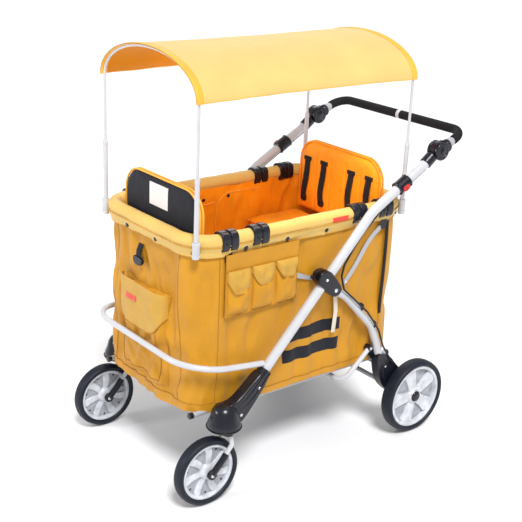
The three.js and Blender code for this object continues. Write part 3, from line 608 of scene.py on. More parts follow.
def rear_wheel(label, s):
    body = f"rear_wheel_{label}"
    x, reach = REAR_X * s, REAR_R - TYRE
    tyre(f"rear_tyre_rubber_{label}", REAR_HUB, x, REAR_R, REAR_W, body, f"rear_tyre_{label}")
    rim = [(reach, -17), (reach, 17), (reach - 4, 18.5), (reach - 9, 17), (reach - 12, 10),
           (reach - 12, -10), (reach - 9, -17), (reach - 4, -18.5), (reach, -17)]
    hub = turn(f"rear_rim_{label}", rim, (x, *REAR_HUB), HUB, body, count=72)
    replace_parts(hub, f"rear_hub_{label}")
    web = [(24, -3), (24, 3), (reach - 10, 3), (reach - 10, -3), (24, -3)]
    # The recessed web is drawn in the recess grey, painted shade on the hub's pale plastic.
    turn(f"rear_web_{label}", web, (x, *REAR_HUB), HUB_RECESS_SHADE, body)
    boss = [(5.6, -17), (5.6, 15), (20, 16), (27, 13), (31, 8), (32, 0), (28, -12), (18, -17), (5.6, -17)]
    turn(f"rear_boss_{label}", boss, (x, *REAR_HUB), HUB, body, flip=s)
    spoke = [(-17, 22), (17, 22), (19, 55), (29, reach - 8), (-29, reach - 8), (-19, 55)]
    for k, outline in enumerate(around(REAR_HUB, soften(spoke, 1), 5, 0.3)):
        plate(f"rear_spoke_{label}_{k}", outline, x - 9 * s, x + 12 * s, HUB, body, edge=3)
    cap = [(0, 24.4), (9, 24), (15, 22.4), (18, 19), (19, 14), (0, 14)]
    turn(f"rear_cap_{label}", cap, (x, *REAR_HUB), BLACK, body, count=40, flip=s)
    ring = [(19.2, 14), (19.2, 17.5), (21.5, 17), (23, 14.5), (19.2, 14)]
    turn(f"rear_cap_ring_{label}", ring, (x, *REAR_HUB), STEEL, body, count=40, flip=s)


def fork(label, s):
    body = f"caster_{label}"
    x0 = TUBE_X * s
    crown = soften([(x0 - 37, CASTER_Y - 17), (x0 + 37, CASTER_Y - 17), (x0 + 37, CASTER_Y + 17),
                    (x0 - 37, CASTER_Y + 17)], 2)
    made = plate(f"fork_crown_{label}", crown, CROWN_Z - 9, CROWN_Z - 0.5, BLACK, body, plane="xy", edge=2)
    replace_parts(made, f"fork_{label}")
    turn(f"fork_collar_{label}", [(0, -8), (24, -8), (27, -4), (26, 1), (0, 1)],
         (x0, CASTER_Y, CROWN_Z - 1), BLACK, body, axis="Z", count=40)
    for k, offset in enumerate((-FORK_HALF, FORK_HALF)):
        x = x0 + offset
        inner = bend_route([(x0 + offset * 0.8, CASTER_Y + 4, CROWN_Z - 6), (x, CASTER_Y + 9, 184),
                            (x, -342, 140)], 16, 5)
        tube(f"fork_arm_{label}_{k}", inner, 7, WHITE, body)
        tube(f"fork_sleeve_{label}_{k}", side(x, [(-327, 158), (-342, 139), FRONT_HUB]), 10, BLACK, body)
        foot = [(FRONT_HUB[0] + a, FRONT_HUB[1] + b) for a, b in circle(15, 28)]
        plate(f"fork_foot_{label}_{k}", foot, x - 6, x + 6, BLACK, body, edge=2.5)
        way = 1 if offset > 0 else -1
        screw(f"fork_bolt_{label}_{k}", x + way * 6.2, FRONT_HUB, 6.5, body, way)
    tube(f"front_axle_{label}", [(x0 - 30, *FRONT_HUB), (x0 + 30, *FRONT_HUB)], 5, STEEL, body)


def caster_housing(label, s):
    x = TUBE_X * s
    top = TUBE_FOOT
    arm = soften([move(top, LOWER, 0, 20), (-250, 334), (-286, 306), (-316, 304), (-322, CROWN_Z + 12),
                  (-290, CROWN_Z + 6), (-262, CROWN_Z + 14), (-222, 280), move(top, LOWER, 0, -20)], 2)
    made = plate(f"caster_arm_{label}", arm, x - 20, x + 20, BLACK, edge=7, segments=5)
    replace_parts(made, f"caster_housing_{label}")
    dome = [(0, 2), (40, 2), (49, 6), (50.5, 12), (48, 26), (42, 40), (37, 60), (30, 72), (18, 80), (0, 82)]
    turn(f"caster_dome_{label}", dome, (x, CASTER_Y, CROWN_Z), BLACK, axis="Z", count=56)
    lip = [(46, 8), (52, 8.5), (52.5, 12), (47, 13), (46, 8)]
    turn(f"caster_lip_{label}", lip, (x, CASTER_Y, CROWN_Z), BLACK, axis="Z", count=56)
    for k, across in enumerate((-8, 8)):
        rib = [move(top, LOWER, 4, across), (-240 - across * 0.6, 300 + across), (-292, 268 + across * 1.4)]
        plate(f"caster_rib_{label}_{k}", soften(bar_outline(rib, 3), 1), x + 19 * s, x + 22 * s, BLACK,
              edge=1.2)
    collar = [move(top, LOWER, -14), move(top, LOWER, 6)]
    tube(f"tube_cuff_{label}", side(x, collar), 21, BLACK)
    for k, at in enumerate([(-270, 262), (-206, 330)]):
        screw(f"caster_screw_{label}_{k}", x + s * 20.2, at, 5, way=s)


for label, s in SIDES.items():
    front_wheel(label, s)
    rear_wheel(label, s)
    fork(label, s)
    caster_housing(label, s)

# ------------------------------------------------------------------ frame tubes and fittings


def main_tube(label, s):
    route = bend_route(side(TUBE_X * s, [move(TUBE_FOOT, LOWER, -16), TUBE_BEND,
                                         move(TUBE_HEAD, UPPER, 4)]), 150, 14)
    made = tube(f"side_tube_{label}", route, TUBE_R, WHITE, count=32)
    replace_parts(made, f"main_tube_{label}")
    for k, along in enumerate((60, 118, 300, 415)):
        screw(f"tube_rivet_{label}_{k}", (TUBE_X + TUBE_R - 0.4) * s, move(TUBE_FOOT, LOWER, along), 3.2,
              way=s)


def rear_leg(label, s):
    x = LEG_X * s
    made = tube(f"leg_tube_{label}", bend_route(side(x, LEG_ROUTE), 120, 10), LEG_R, WHITE, "rear_legs", 28)
    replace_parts(made, f"rear_leg_{label}")
    turn(f"leg_boss_{label}", [(0, -13), (13, -13), (15, -11), (15, 11), (13, 13), (0, 13)], (x, *FOLD),
         BLACK, "rear_legs", count=36)
    for k, at in enumerate([(192, 482), (252, 424)]):
        screw(f"leg_rivet_{label}_{k}", (LEG_X + LEG_R - 0.4) * s, at, 3, "rear_legs", s)


def axle_bracket(label, s):
    x = LEG_X * s
    outline = soften([(296, 300), (322, 292), (350, 284), (392, 232), (462, 168), (480, 128), (458, 96),
                      (424, 100), (356, 150), (318, 190), (300, 246)], 2)
    made = plate(f"axle_bracket_{label}", outline, x - 15 * s, x + 16.5 * s, BLACK, "rear_legs", edge=5,
                 segments=4)
    rib = soften([(318, 262), (346, 262), (392, 212), (440, 160), (424, 128), (360, 168), (330, 200)], 2)
    plate(f"axle_bracket_rib_{label}", rib, x + 15 * s, x + 18.2 * s, BLACK, "rear_legs", edge=1.2)
    tube(f"axle_stub_{label}", [(LEG_X * s, *REAR_HUB), ((REAR_X + 14) * s, *REAR_HUB)], 5, STEEL,
         "rear_legs")
    for k, at in enumerate([(334, 246), (386, 184)]):
        screw(f"bracket_screw_{label}_{k}", x + 18.4 * s, at, 4.2, "rear_legs", s)
    lug = soften([(261, 312), (261, 332), (280, 332), (316, 276), (302, 262)], 1)
    plate(f"link_lug_{label}", lug, x - 15 * s, x - 8.4 * s, BLACK, "rear_legs", edge=1.2)
    screw(f"link_bolt_{label}", x + 8.6 * s, LINK_PIVOT, 5, "rear_legs", s)
    return made


def pivot_clamp(label, s):
    outline = soften([(2, 610), (6, 634), (20, 643), (46, 642), (92, 588), (99, 568), (84, 553), (58, 554)],
                     2)
    made = plate(f"clamp_plate_{label}", outline, (LEG_X + 13.4) * s, (TUBE_X + 19) * s, BLACK, edge=4,
                 segments=4)
    wrap = soften([(2, 610), (6, 634), (20, 643), (46, 642), (72, 612), (38, 578)], 2)
    plate(f"clamp_wrap_{label}", wrap, (TUBE_X - 20) * s, (TUBE_X + 18) * s, BLACK, edge=4, segments=4)
    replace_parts(made, f"pivot_clamp_{label}")
    tube(f"clamp_stud_{label}", [((STRUT_X[1] + 0.3) * s, 18, 612), ((TUBE_X - 18) * s, 18, 612)], 6, BLACK)
    tube(f"clamp_axle_{label}", [((LEG_X - 12) * s, *FOLD), (TUBE_X * s, *FOLD)], 6, STEEL)
    for k, (at, size) in enumerate([((33, 615), 5), ((72, 574), 6.5)]):
        screw(f"clamp_screw_{label}_{k}", (TUBE_X + 19.2) * s, at, size, way=s)


def struts(label, s):
    runs = {
        "front": [(34, 600), (HINGES["front"][0], STRUT_TOP)],
        "rear": [(150, 556), (195, 605), (250, 690), (HINGES["rear"][1], STRUT_TOP)],
    }
    for end, half in (("front", 9), ("rear", 8)):
        outline = soften(bar_outline(runs[end], half), 2)
        bar = plate(f"{end}_strut_bar_{label}", outline, STRUT_X[0] * s, STRUT_X[1] * s, GREY, edge=1)
        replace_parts(bar, f"{end}_strut_{label}")
    for k, at in enumerate([(22, 605), (HINGES["front"][0] + 8, STRUT_TOP - 3), (160, 566),
                            (HINGES["rear"][1] - 8, STRUT_TOP - 3)]):
        screw(f"strut_rivet_{label}_{k}", STRUT_X[1] * s, at, 5, way=s)


def rim_hinge(label, s, end, places):
    shell = [(RIM_W - 25, RIM_Z - 28), (RIM_W + 14, RIM_Z - 30), (RIM_W + 25, RIM_Z - 20),
             (RIM_W + 25.5, RIM_Z + 14), (RIM_W + 14, RIM_Z + 28), (RIM_W - 14, RIM_Z + 28),
             (RIM_W - 26, RIM_Z + 16)]
    outline = [(x * s, z) for x, z in soften(shell, 2)]
    for k, y in enumerate(places):
        for half, (low, high) in enumerate(((y - HINGE_HALF, y - 2), (y + 2, y + HINGE_HALF))):
            made = plate(f"hinge_{end}_{label}_{k}_{half}", outline, low, high, BLACK, plane="xz", edge=4,
                         segments=4)
            if k == 0 and half == 0:
                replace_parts(made, f"rim_hinge_{end}_{label}")
        inner = [((RIM_W + (x / s - RIM_W) * 0.86) * s, RIM_Z + (z - RIM_Z) * 0.86) for x, z in outline]
        plate(f"hinge_core_{end}_{label}_{k}", inner, y - 8, y + 8, BLACK, plane="xz", edge=1)
        screw(f"hinge_screw_{end}_{label}_{k}", (RIM_W + 25.4) * s, (y - 15, RIM_Z - 2), 3.6, way=s,
              look=BLACK)
    strut_end = places[0] if abs(places[0]) > abs(places[1]) else places[1]
    lug = [(strut_end - 13, STRUT_TOP - 13), (strut_end + 13, STRUT_TOP - 13), (strut_end + 13, RIM_Z - 20),
           (strut_end - 13, RIM_Z - 20)]
    plate(f"hinge_lug_{end}_{label}", soften(lug, 1), (STRUT_X[1] + 0.4) * s, (STRUT_X[1] + 2.6) * s, BLACK,
          edge=1.2)


def collar(label, s):
    def at(along, across):
        return move(TUBE_HEAD, UPPER, along - COLLAR_BACK, across)
    x = TUBE_X * s
    made = tube(f"collar_sleeve_{label}", side(x, [at(-25, 0), at(25, 0)]), 21, BLACK, count=32)
    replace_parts(made, f"cable_collar_{label}")
    for k, along in enumerate((-23, 20)):
        tube(f"collar_band_{label}_{k}", side(x, [at(along, 0), at(along + 4, 0)]), 22.2, BLACK, count=32)
    pad = soften([at(-21, 9), at(21, 9), at(21, -9), at(-21, -9)], 2)
    plate(f"collar_pad_{label}", pad, x + 16 * s, x + 24 * s, BLACK, edge=1.5)
    tab = soften([at(-19, 10), at(7, 10), at(7, -8), at(-19, -8)], 1)
    made = plate(f"red_slider_{label}", tab, x + 24.4 * s, x + 29 * s, RED, f"slider_{label}", edge=1.6)
    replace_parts(made, f"brake_slider_{label}")
    ridge = [at(-8, 5), at(-6, 5), at(-6, -5), at(-8, -5)]
    plate(f"slider_ridge_{label}", ridge, x + 28 * s, x + 30.2 * s, RED, f"slider_{label}", edge=0.5)


def handle_joint(label, s):
    x = TUBE_X * s
    sleeve = side(x, [move(TUBE_HEAD, UPPER, -12), move(JOINT, UPPER, -JOINT_R - 2)])
    made = tube(f"joint_sleeve_{label}", sleeve, 19, BLACK, count=32)
    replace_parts(made, f"handle_base_{label}")
    core = [(8.5, -9.8), (26, -9.8), (28.6, -8), (28.6, 8), (26, 9.8), (8.5, 9.8), (8.5, -9.8)]
    turn(f"joint_core_{label}", core, (x, *JOINT), BLACK)
    neck = [move(JOINT, UPPER, -24, 13), move(JOINT, UPPER, -38, 15), move(JOINT, UPPER, -38, -15),
            move(JOINT, UPPER, -24, -13)]
    plate(f"joint_neck_{label}", neck, x - 9.8, x + 9.8, BLACK, edge=1.5)
    first = None
    for k, way in enumerate((-1, 1)):
        face = [(8.6 if way == s else 0, 10.4), (27, 10.4), (29.2, 12.5), (29.2, 18), (27, 21), (21, 22),
                (19.5, 20.4), (12, 20.4), (10.5, 21.4), (8.6 if way == s else 0, 21.4)]
        if way == s:
            face.append(face[0])
        cheek = turn(f"joint_cheek_{label}_{k}", face, (x, *JOINT), BLACK, "handle", flip=way)
        first = first or cheek
        web = [move(JOINT, GRIP_RISE, 14, 16), move(JOINT, GRIP_RISE, 14, -16),
               move(JOINT, GRIP_RISE, 42, -14), move(JOINT, GRIP_RISE, 42, 14)]
        plate(f"joint_web_{label}_{k}", soften(web, 1), x + way * 10.6, x + way * 20, BLACK, "handle",
              edge=2)
    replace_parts(first, f"handle_head_{label}")
    for name, start, end, radius, look in (("head_block", 32, 44, 17.5, BLACK),
                                           ("head_neck", 44, 62, 15, GREY)):
        run = side(x, [move(JOINT, GRIP_RISE, start), move(JOINT, GRIP_RISE, end)])
        tube(f"{name}_{label}", run, radius, look, "handle", 32)
    button = [(0, 24.6), (5, 24.4), (7.4, 23), (7.8, 20), (7.8, 4), (0, 4)]
    made = turn(f"button_cap_{label}", button, (x, *JOINT), BLACK, f"button_{label}", count=32, flip=s)
    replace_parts(made, f"tilt_button_{label}")


for label, s in SIDES.items():
    main_tube(label, s)
    rear_leg(label, s)
    pivot_clamp(label, s)
    struts(label, s)
    for end, places in HINGES.items():
        rim_hinge(label, s, end, places)
    collar(label, s)
    handle_joint(label, s)
bracket = [axle_bracket(label, s) for label, s in SIDES.items()][0]
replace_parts(bracket, "rear_axle")
for k, at in enumerate([(345, 182), (402, 200)]):
    tube(f"axle_bar_{k}", [(-LEG_X + 10, *at), (LEG_X - 10, *at)], BAR_R, GREY, "rear_legs")


def hoops():
    start = move(TUBE_FOOT, LOWER, 16, TUBE_R + 5)
    route = bend_route([(TUBE_X, *start), (TUBE_X, -432, 428), (-TUBE_X, -432, 428), (-TUBE_X, *start)],
                       125, 16)
    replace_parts(tube("bumper_hoop", route, 9, WHITE, count=28), "front_bumper")
    route = bend_route([(LEG_X, *LINK_PIVOT), (LEG_X, *LINK_CROSS), (-LEG_X, *LINK_CROSS),
                        (-LEG_X, *LINK_PIVOT)], 40, 10)
    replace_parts(tube("link_hoop", route, BAR_R, WHITE, "link", slot="grey_metal"), "link_bar")
    for label, s in SIDES.items():
        eye = [(4.6, -8), (9, -8), (10, -7), (10, 7), (9, 8), (4.6, 8), (4.6, -8)]
        turn(f"link_eye_{label}", eye, (LEG_X * s, *LINK_PIVOT), BLACK, "link", count=32)
    rail_z = CABIN_LOW - 8.3
    rails = [tube(f"floor_rail_{label}", [(226 * s, -396, rail_z), (226 * s, 396, rail_z)], 8, GREY)
             for label, s in SIDES.items()]
    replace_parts(rails[0], "floor_frame")
    for label, s in SIDES.items():
        for k, y in enumerate((-398, 384)):
            tube(f"rail_cap_{label}_{k}", [(226 * s, y, rail_z), (226 * s, y + 14, rail_z)], 9.4, BLACK)
    for k, y in enumerate((-300, 0, 300)):
        tube(f"floor_tie_{k}", [(-226, y, rail_z), (226, y, rail_z)], 7, GREY)


def grip():
    def route(start):
        foot = move(JOINT, GRIP_RISE, start)
        return bend_route([(TUBE_X, *foot), (TUBE_X, *GRIP), (-TUBE_X, *GRIP), (-TUBE_X, *foot)],
                          GRIP_CORNER, 12)
    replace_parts(tube("handle_bar", route(44), 10, GREY, "handle"), "handle_tube")
    whole = route(68)
    half = whole[: len(whole) // 2]
    for label, s in SIDES.items():
        run = [(p[0] * s, p[1], p[2]) for p in half] + [(7 * s, *GRIP)]
        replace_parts(tube(f"foam_{label}", run, FOAM_R, FOAM, "handle", 32), f"grip_foam_{label}")
    tube("grip_band", [(-7, *GRIP), (7, *GRIP)], FOAM_R + 0.4, WHITE, "handle", 32)


def cables():
    reach = TUBE_R + 2.8
    for label, s in SIDES.items():
        x = TUBE_X * s
        upper = [move(TUBE_HEAD, UPPER, -16, -reach), move(TUBE_BEND, UPPER, 40, -reach),
                 move(TUBE_BEND, LOWER, -60, -reach - 1), move(TUBE_BEND, LOWER, -120, -reach - 4),
                 (116, 640), (108, 606), (122, 560), (230, 462), (286, 388), (312, 326), (364, 250)]
        made = tube(f"brake_cable_{label}", bend_route(side(x, upper), 14, 4), 3.0, SHEATH, None, count=12)
        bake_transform(made)
        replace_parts(made, f"brake_cable_upper_{label}", f"brake_cable_lower_{label}")
        for k, at in enumerate([(214, 476), (276, 402)]):
            tube(f"cable_clip_{label}_{k}", [(LEG_X * s, at[0] - 3, at[1] + 2),
                                             (LEG_X * s, at[0] + 3, at[1] - 3)], 14.6, BLACK, "rear_legs")


hoops()
grip()
cables()

# ------------------------------------------------------------------ cabin walls

AROUND = 2 * math.pi * RIM_R + 4 * (RIM_W - RIM_R) + 4 * (RIM_L - RIM_R)


def on_side(y):
    """How far round the rim, in mm, a point on the +X side lies."""
    return RIM_W - RIM_R + math.pi / 2 * RIM_R + y + RIM_L - RIM_R


def mirrored(along, s):
    """The same place on the side that s names: 1 for +X, -1 for -X."""
    return along if s > 0 else AROUND - along


def on_front(x):
    return x % AROUND


def on_back(x):
    return (AROUND / 2 - x) % AROUND


def folds(along, z, grain=1.0):
    """The hang of the cloth: upright folds, shallow drags and a few sharp creases, from -1 to 1."""
    angle = 2 * math.pi * along / AROUND
    ring = Vector((math.cos(angle), math.sin(angle), 0)) * AROUND / (2 * math.pi)
    upright = noise_at((ring.x / 42, ring.y / 42, z / 300 + grain))
    drag = noise_at((ring.x / 110 - z / 240, ring.y / 110 + z / 300, z / 120 + 3 * grain))
    crease = abs(noise_at((ring.x / 70 + z / 260, ring.y / 70 - z / 340, z / 240 + 7 * grain)))
    pucker = abs(noise_at((ring.x / 30, ring.y / 30 + z / 90, z / 140 + 9 * grain)))
    return 1.5 * upright + 1.3 * drag + 1.9 * (0.22 - crease) + 0.7 * (0.2 - pucker)


def wall_out(along, z):
    """How far the outer cloth stands outside the rim's centre line."""
    low = max(0, min(1, (z - CABIN_LOW) / 60))
    high = max(0, min(1, (BAND_LOW - z) / 60))
    belly = 2.2 * math.sin(math.pi * low / 2) * math.sin(math.pi * high / 2)
    end = abs(math.cos(2 * math.pi * along / AROUND)) ** 3
    belly += 12 * max(0, -math.cos(2 * math.pi * along / AROUND)) ** 5 * min(1, low + 0.3) * high
    loose = 8 + 7 * end
    out = 1.8 + belly + folds(along, z) * loose * (0.35 + 0.65 * min(low, high))
    return squeeze(out, -7, 6.8 + 7 * end)


def squeeze(value, low, high):
    """The value eased so that it stays between two limits."""
    middle, half = (low + high) / 2, (high - low) / 2
    return middle + half * math.tanh((value - middle) / half)


def lining_out(along, z):
    return -squeeze(15.5 + 11 * folds(along, z, 2.3), 11, 21)


def droop(along):
    """The skirt hangs lower across the front, and its edge is ruffled."""
    front = max(0, math.cos(2 * math.pi * along / AROUND)) ** 3
    ruffle = (0.8 + 1.4 * front) * math.sin(along / 17 + 2 * math.sin(along / 53))
    return 11 * front + 2 * math.sin(along / 37) + ruffle


def rim_spot(along, out, z):
    x, y, _ = rim_point(along / AROUND, out)
    return mm(x, y, z)


def rim_line(out, z, steps=300):
    """A level line right round the rim."""
    return [rim_spot(k / steps * AROUND, out, z) for k in range(steps + 1)]


def round_wall(name, outside, inside, low, high, look, rows, steps):
    """A closed cloth shell right round the cabin, between two surfaces."""
    rings = []
    for k in range(steps + 1):
        along = (k % steps) / steps * AROUND
        base = low(along)
        heights = [base + (high - base) * i / rows for i in range(rows + 1)]
        ring = [rim_spot(along, outside(along, z), z) for z in heights]
        heights = [high - (high - base) * i / rows for i in range(rows + 1)]
        ring += [rim_spot(along, inside(along, z), z) for z in heights]
        rings.append(ring)
    points, faces = skin(rings, caps=False)
    return piece(name, points, faces, look, smooth_angle=70)


def patch(name, span, z_range, out, look, shape=None, under=1.2, cells=(40, 40)):
    """A closed piece of cloth lying on the wall; shape(u) gives the lower and upper z at u from 0 to 1."""
    columns, rows = cells
    front, back = [], []
    for i in range(columns + 1):
        u = i / columns
        low, high = shape(u) if shape else z_range
        along = span[0] + (span[1] - span[0]) * u
        for j in range(rows + 1):
            v = j / rows
            z = low + (high - low) * v
            lift = out(along, z, u, v)
            front.append(rim_spot(along, lift, z))
            back.append(rim_spot(along, max(lift - 2.5, wall_out(along, z) + 0.3 - under), z))
    return piece(name, *closed_grid(front, back, columns, rows), look, smooth_angle=60,
                 slot="yellow_fabric")


def closed_grid(front, back, columns, rows):
    """Points and faces of a shell between two grids of the same size."""
    size = (columns + 1) * (rows + 1)
    faces = []
    for i in range(columns):
        for j in range(rows):
            a = i * (rows + 1) + j
            quad = (a, a + 1, a + rows + 2, a + rows + 1)
            faces += [quad, tuple(size + p for p in reversed(quad))]
    edge = list(range(rows + 1))
    edge += [i * (rows + 1) + rows for i in range(1, columns + 1)]
    edge += [columns * (rows + 1) + j for j in range(rows - 1, -1, -1)]
    edge += [i * (rows + 1) for i in range(columns - 1, 0, -1)]
    faces += [(a, b, b + size, a + size) for a, b in zip(edge, edge[1:] + edge[:1])]
    return front + back, faces


def seam(name, places, look, radius, body="chassis", slot=None):
    """A piped seam through points given in the frame's metres."""
    rings = rings_along([Vector(p) * 1000 for p in places], lambda i: circle(radius, 8))
    points, faces = skin(rings)
    return piece(name, [p / 1000 for p in points], faces, look, body, smooth_angle=60, slot=slot)


def snap(name, place, outward, radius, height):
    """A small domed cap."""
    across = outward.orthogonal().normalized()
    up = outward.cross(across)
    rings = []
    for r, h in [(radius, -1.5), (radius, height * 0.4), (radius * 0.8, height * 0.85),
                 (radius * 0.4, height), (0.01, height)]:
        rings.append([place + (across * a + up * b) / 1000 + outward * h / 1000 for a, b in circle(r, 16)])
    points, faces = skin(rings)
    piece(name, points, faces, BLACK)


def walls():
    outer = round_wall("cabin_wall", wall_out, lambda along, z: wall_out(along, z) - 1.6,
                       lambda along: CABIN_LOW - droop(along), BAND_LOW + 14, YELLOW, 60, 520)
    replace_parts(outer, "cabin_fabric")
    round_wall("cabin_lining", lambda along, z: -9.5, lining_out, lambda along: CABIN_LOW + 2, RIM_Z - 12,
               ORANGE, 40, 420)
    round_wall("cabin_hem", lambda along, z: wall_out(along, z) + 1.6,
               lambda along, z: wall_out(along, z) - 2, lambda along: CABIN_LOW - 1 - droop(along),
               CABIN_LOW + 19, YELLOW, 5, 460)
    plate("cabin_floor_cloth", rim_outline(-8), CABIN_LOW, CABIN_LOW + 2, BLACK_CLOTH, plane="xy", edge=0,
          slot="yellow_fabric")
    board = plate("floor_mat", rim_outline(-19), CABIN_LOW + 2.3, CABIN_LOW + 8, BLACK_CLOTH, plane="xy",
                  edge=1.5)
    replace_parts(board, "floor_board")


def rim_outline(out, steps=160):
    return [rim_point(k / steps, out)[:2] for k in range(steps)]


def rim_cover():
    """The cloth rolled over the rim tube, and the band below it that the walls snap to."""
    def roll(share):
        along = share * AROUND
        section = []
        for k in range(30):
            angle = math.radians(-62 + 304 * k / 29)
            lump = 1 + 0.03 * folds(along, 40 * k, 5) + 0.03 * noise_at((along / 9, k / 9, 2))
            section.append(((ROLL - 1) * lump * math.cos(angle),
                            RIM_Z + (ROLL - 1) * lump * math.sin(angle)))
        for k in range(30):
            angle = math.radians(242 - 304 * k / 29)
            section.append((16 * math.cos(angle), RIM_Z + 16 * math.sin(angle)))
        return section
    round_rim("rim_roll", roll, RIM_YELLOW)

    def band(share):
        along = share * AROUND
        front = []
        for k in range(9):
            v = k / 8
            wave_out = 1.6 * folds(along, 300 * v, 4) * v
            low = BAND_LOW + 1.5 * math.sin(along / 61)
            front.append((ROLL - 1 - 11 * v ** 1.2 + wave_out, RIM_Z - 10 + (low - RIM_Z + 10) * v))
        return front + [(out - 2.2, z) for out, z in reversed(front)]
    round_rim("snap_band", band, RIM_YELLOW)
    edge = []
    for k in range(301):
        along = k / 300 * AROUND
        edge.append(rim_spot(along, 10.5, BAND_LOW + 1.5 * math.sin(along / 61) + 1))
    seam("band_edge", edge, YELLOW, 1.5)
    seam("roll_stitch", rim_line(ROLL - 0.6, RIM_Z - 11), YELLOW, 0.9)
    seam("lining_edge", rim_line(-9, RIM_Z - 22), ORANGE_PIPE, 1.8)
    count = 16
    for k in range(count):
        along = (k + 0.42) / count * AROUND
        x, y, out = rim_point(along / AROUND, 15.4)
        snap(f"snap_{k:02d}", mm(x, y, BAND_LOW + 14), Vector((*out, 0)), 7, 2.6)
    tube("rim_bar", [(*rim_point(k / 160, 0)[:2], RIM_Z) for k in range(161)], 11, WHITE)
    first = None
    for label, s in SIDES.items():
        for end, t in ENDS.items():
            cup = [(7.6, -29), (7.6, 9), (9, 10), (11, 9), (12.2, 4), (11, 0), (11, -27), (9, -30),
                   (7.6, -29)]
            made = turn(f"pole_cup_{end}_{label}", cup, (POLE_X * s, POLE_Y * t, RIM_Z), WHITE, axis="Z",
                        count=32)
            turn(f"pole_cup_foot_{end}_{label}", [(0, -38), (10, -37), (12, -30), (12, -26), (0, -26)],
                 (POLE_X * s, POLE_Y * t, RIM_Z), WHITE, axis="Z", count=28)
            first = first or made
    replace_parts(first, "rim_frame")


def upright_seams():
    # The seams are drawn in the seam yellow, whose darkness is painted shade along their creases.
    for k, along in enumerate([on_front(168), on_front(-168), on_side(-318), on_side(318), on_back(168),
                               on_back(-168)]):
        seam(f"wall_seam_{k}", [rim_spot(along, wall_out(along, z) + 0.4, z)
                                for z in range(CABIN_LOW, BAND_LOW, 6)], SEAM_SHADE_YELLOW, 1.3)
    height = CABIN_LOW + 19
    seam("hem_seam", [rim_spot(i / 400 * AROUND, wall_out(i / 400 * AROUND, height) + 1.2, height)
                      for i in range(401)], SEAM_SHADE_YELLOW, 1.4)


def lining_seams():
    """The arched and level piping on the lining of each side wall."""
    for label, s in SIDES.items():
        def spot(y, z, s=s):
            along = mirrored(on_side(y), s)
            return rim_spot(along, lining_out(along, z) - 0.8, z)
        arched = refine(bend_route([(0, 12, 300), (0, 12, 742), (0, 190, 742)], 46, 8), 6)
        seam(f"lining_arch_{label}", [spot(p[1], p[2]) for p in arched], ORANGE_PIPE, 1.9)
        seam(f"lining_level_{label}", [spot(y, 716 + 0.04 * y) for y in range(-306, 10, 8)], ORANGE_PIPE,
             1.7)
        seam(f"lining_upright_{label}", [spot(-118, z) for z in range(300, 712, 8)], ORANGE_PIPE, 1.5)
        for k, y in enumerate((-262, -40, 60)):
            along = mirrored(on_side(y), s)
            spot_at = rim_spot(along, lining_out(along, 732), 732)
            snap(f"lining_snap_{label}_{k}", spot_at, Vector((-s, 0, 0)), 6, 2.2)


def bulge(u, v, power):
    """From 0 at the edges of a filled pocket to 1 over its middle."""
    return (1 - abs(2 * u - 1) ** power) ** 0.6 * (1 - abs(2 * v - 1) ** power) ** 0.6


def above_bumper(z):
    """From 0 beside the bumper to 1 where the bag is free to stand out."""
    return max(0, min(1, (z - 420) / 50))


def front_bag():
    """The big storage bag on the front wall, with its own round-cornered flap."""
    span = (-118, 112)
    low, high, flap_top = 305, 590, 596

    def full(along, z, u, v):
        sag = 0.82 + 0.3 * (1 - v)
        puff = 17 * sag + 8 * above_bumper(z) + 7 * folds(along, z, 9)
        out = wall_out(along, z) + 1.2 + puff * bulge(u, v, 5)
        return min(25 + 8 * above_bumper(z), max(wall_out(along, z) + 1, out))
    bag = patch("front_bag", span, (low, high), full, YELLOW, cells=(56, 60))
    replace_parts(bag, "front_pocket")

    def bag_spot(u, z, lift):
        along = span[0] + (span[1] - span[0]) * u
        return rim_spot(along, full(along, z, u, (z - low) / (high - low)) + lift, z)

    def flap_low(u):
        return 462 + 62 * abs(2 * u - 1) ** 4.5

    def over(along, z, u, v):
        edge = bulge(u, min(1, 0.18 + 0.7 * v), 8)
        inner = max(0, min(1, u))
        beneath = full(along, z, inner, (z - low) / (high - low)) if z < high else wall_out(along, z)
        return min(36, max(beneath + 1.6, 6 + 25 * edge + 3 * folds(along, z, 11) * edge))
    # The flap's paler yellow is the walls' cloth with a painted highlight.
    patch("front_bag_flap", (span[0] - 4, span[1] + 4), None, over, FLAP_LIT_YELLOW,
          shape=lambda u: (flap_low(u), flap_top), cells=(56, 36))
    # The flap's and the bag's piping use the seam yellow, darkened as painted shade along their creases.
    rim = []
    for k in range(61):
        u = k / 60
        along = span[0] - 4 + (span[1] - span[0] + 8) * u
        z = flap_low(u)
        rim.append(rim_spot(along, over(along, z, u, 0) + 0.6, z))
    seam("front_flap_piping", rim, SEAM_SHADE_YELLOW, 1.6)
    for k, u in enumerate((0.1, 0.9)):
        seam(f"front_bag_piping_{k}", [bag_spot(u, z, 0.8) for z in range(low + 14, high - 30, 6)],
             SEAM_SHADE_YELLOW, 1.5)
    seam("front_bag_base", [bag_spot(0.1 + 0.8 * k / 40, low + 14, 0.8) for k in range(41)], SEAM_SHADE_YELLOW,
         1.5)

    def on_flap(along, z, u, v):
        share = (along - span[0] + 4) / (span[1] - span[0] + 8)
        return over(along, z, share, (z - flap_low(share)) / (flap_top - flap_low(share))) + 2
    patch("front_red_tab", (-66, -12), (538, 553), on_flap, RED_TAB, under=9, cells=(14, 6))


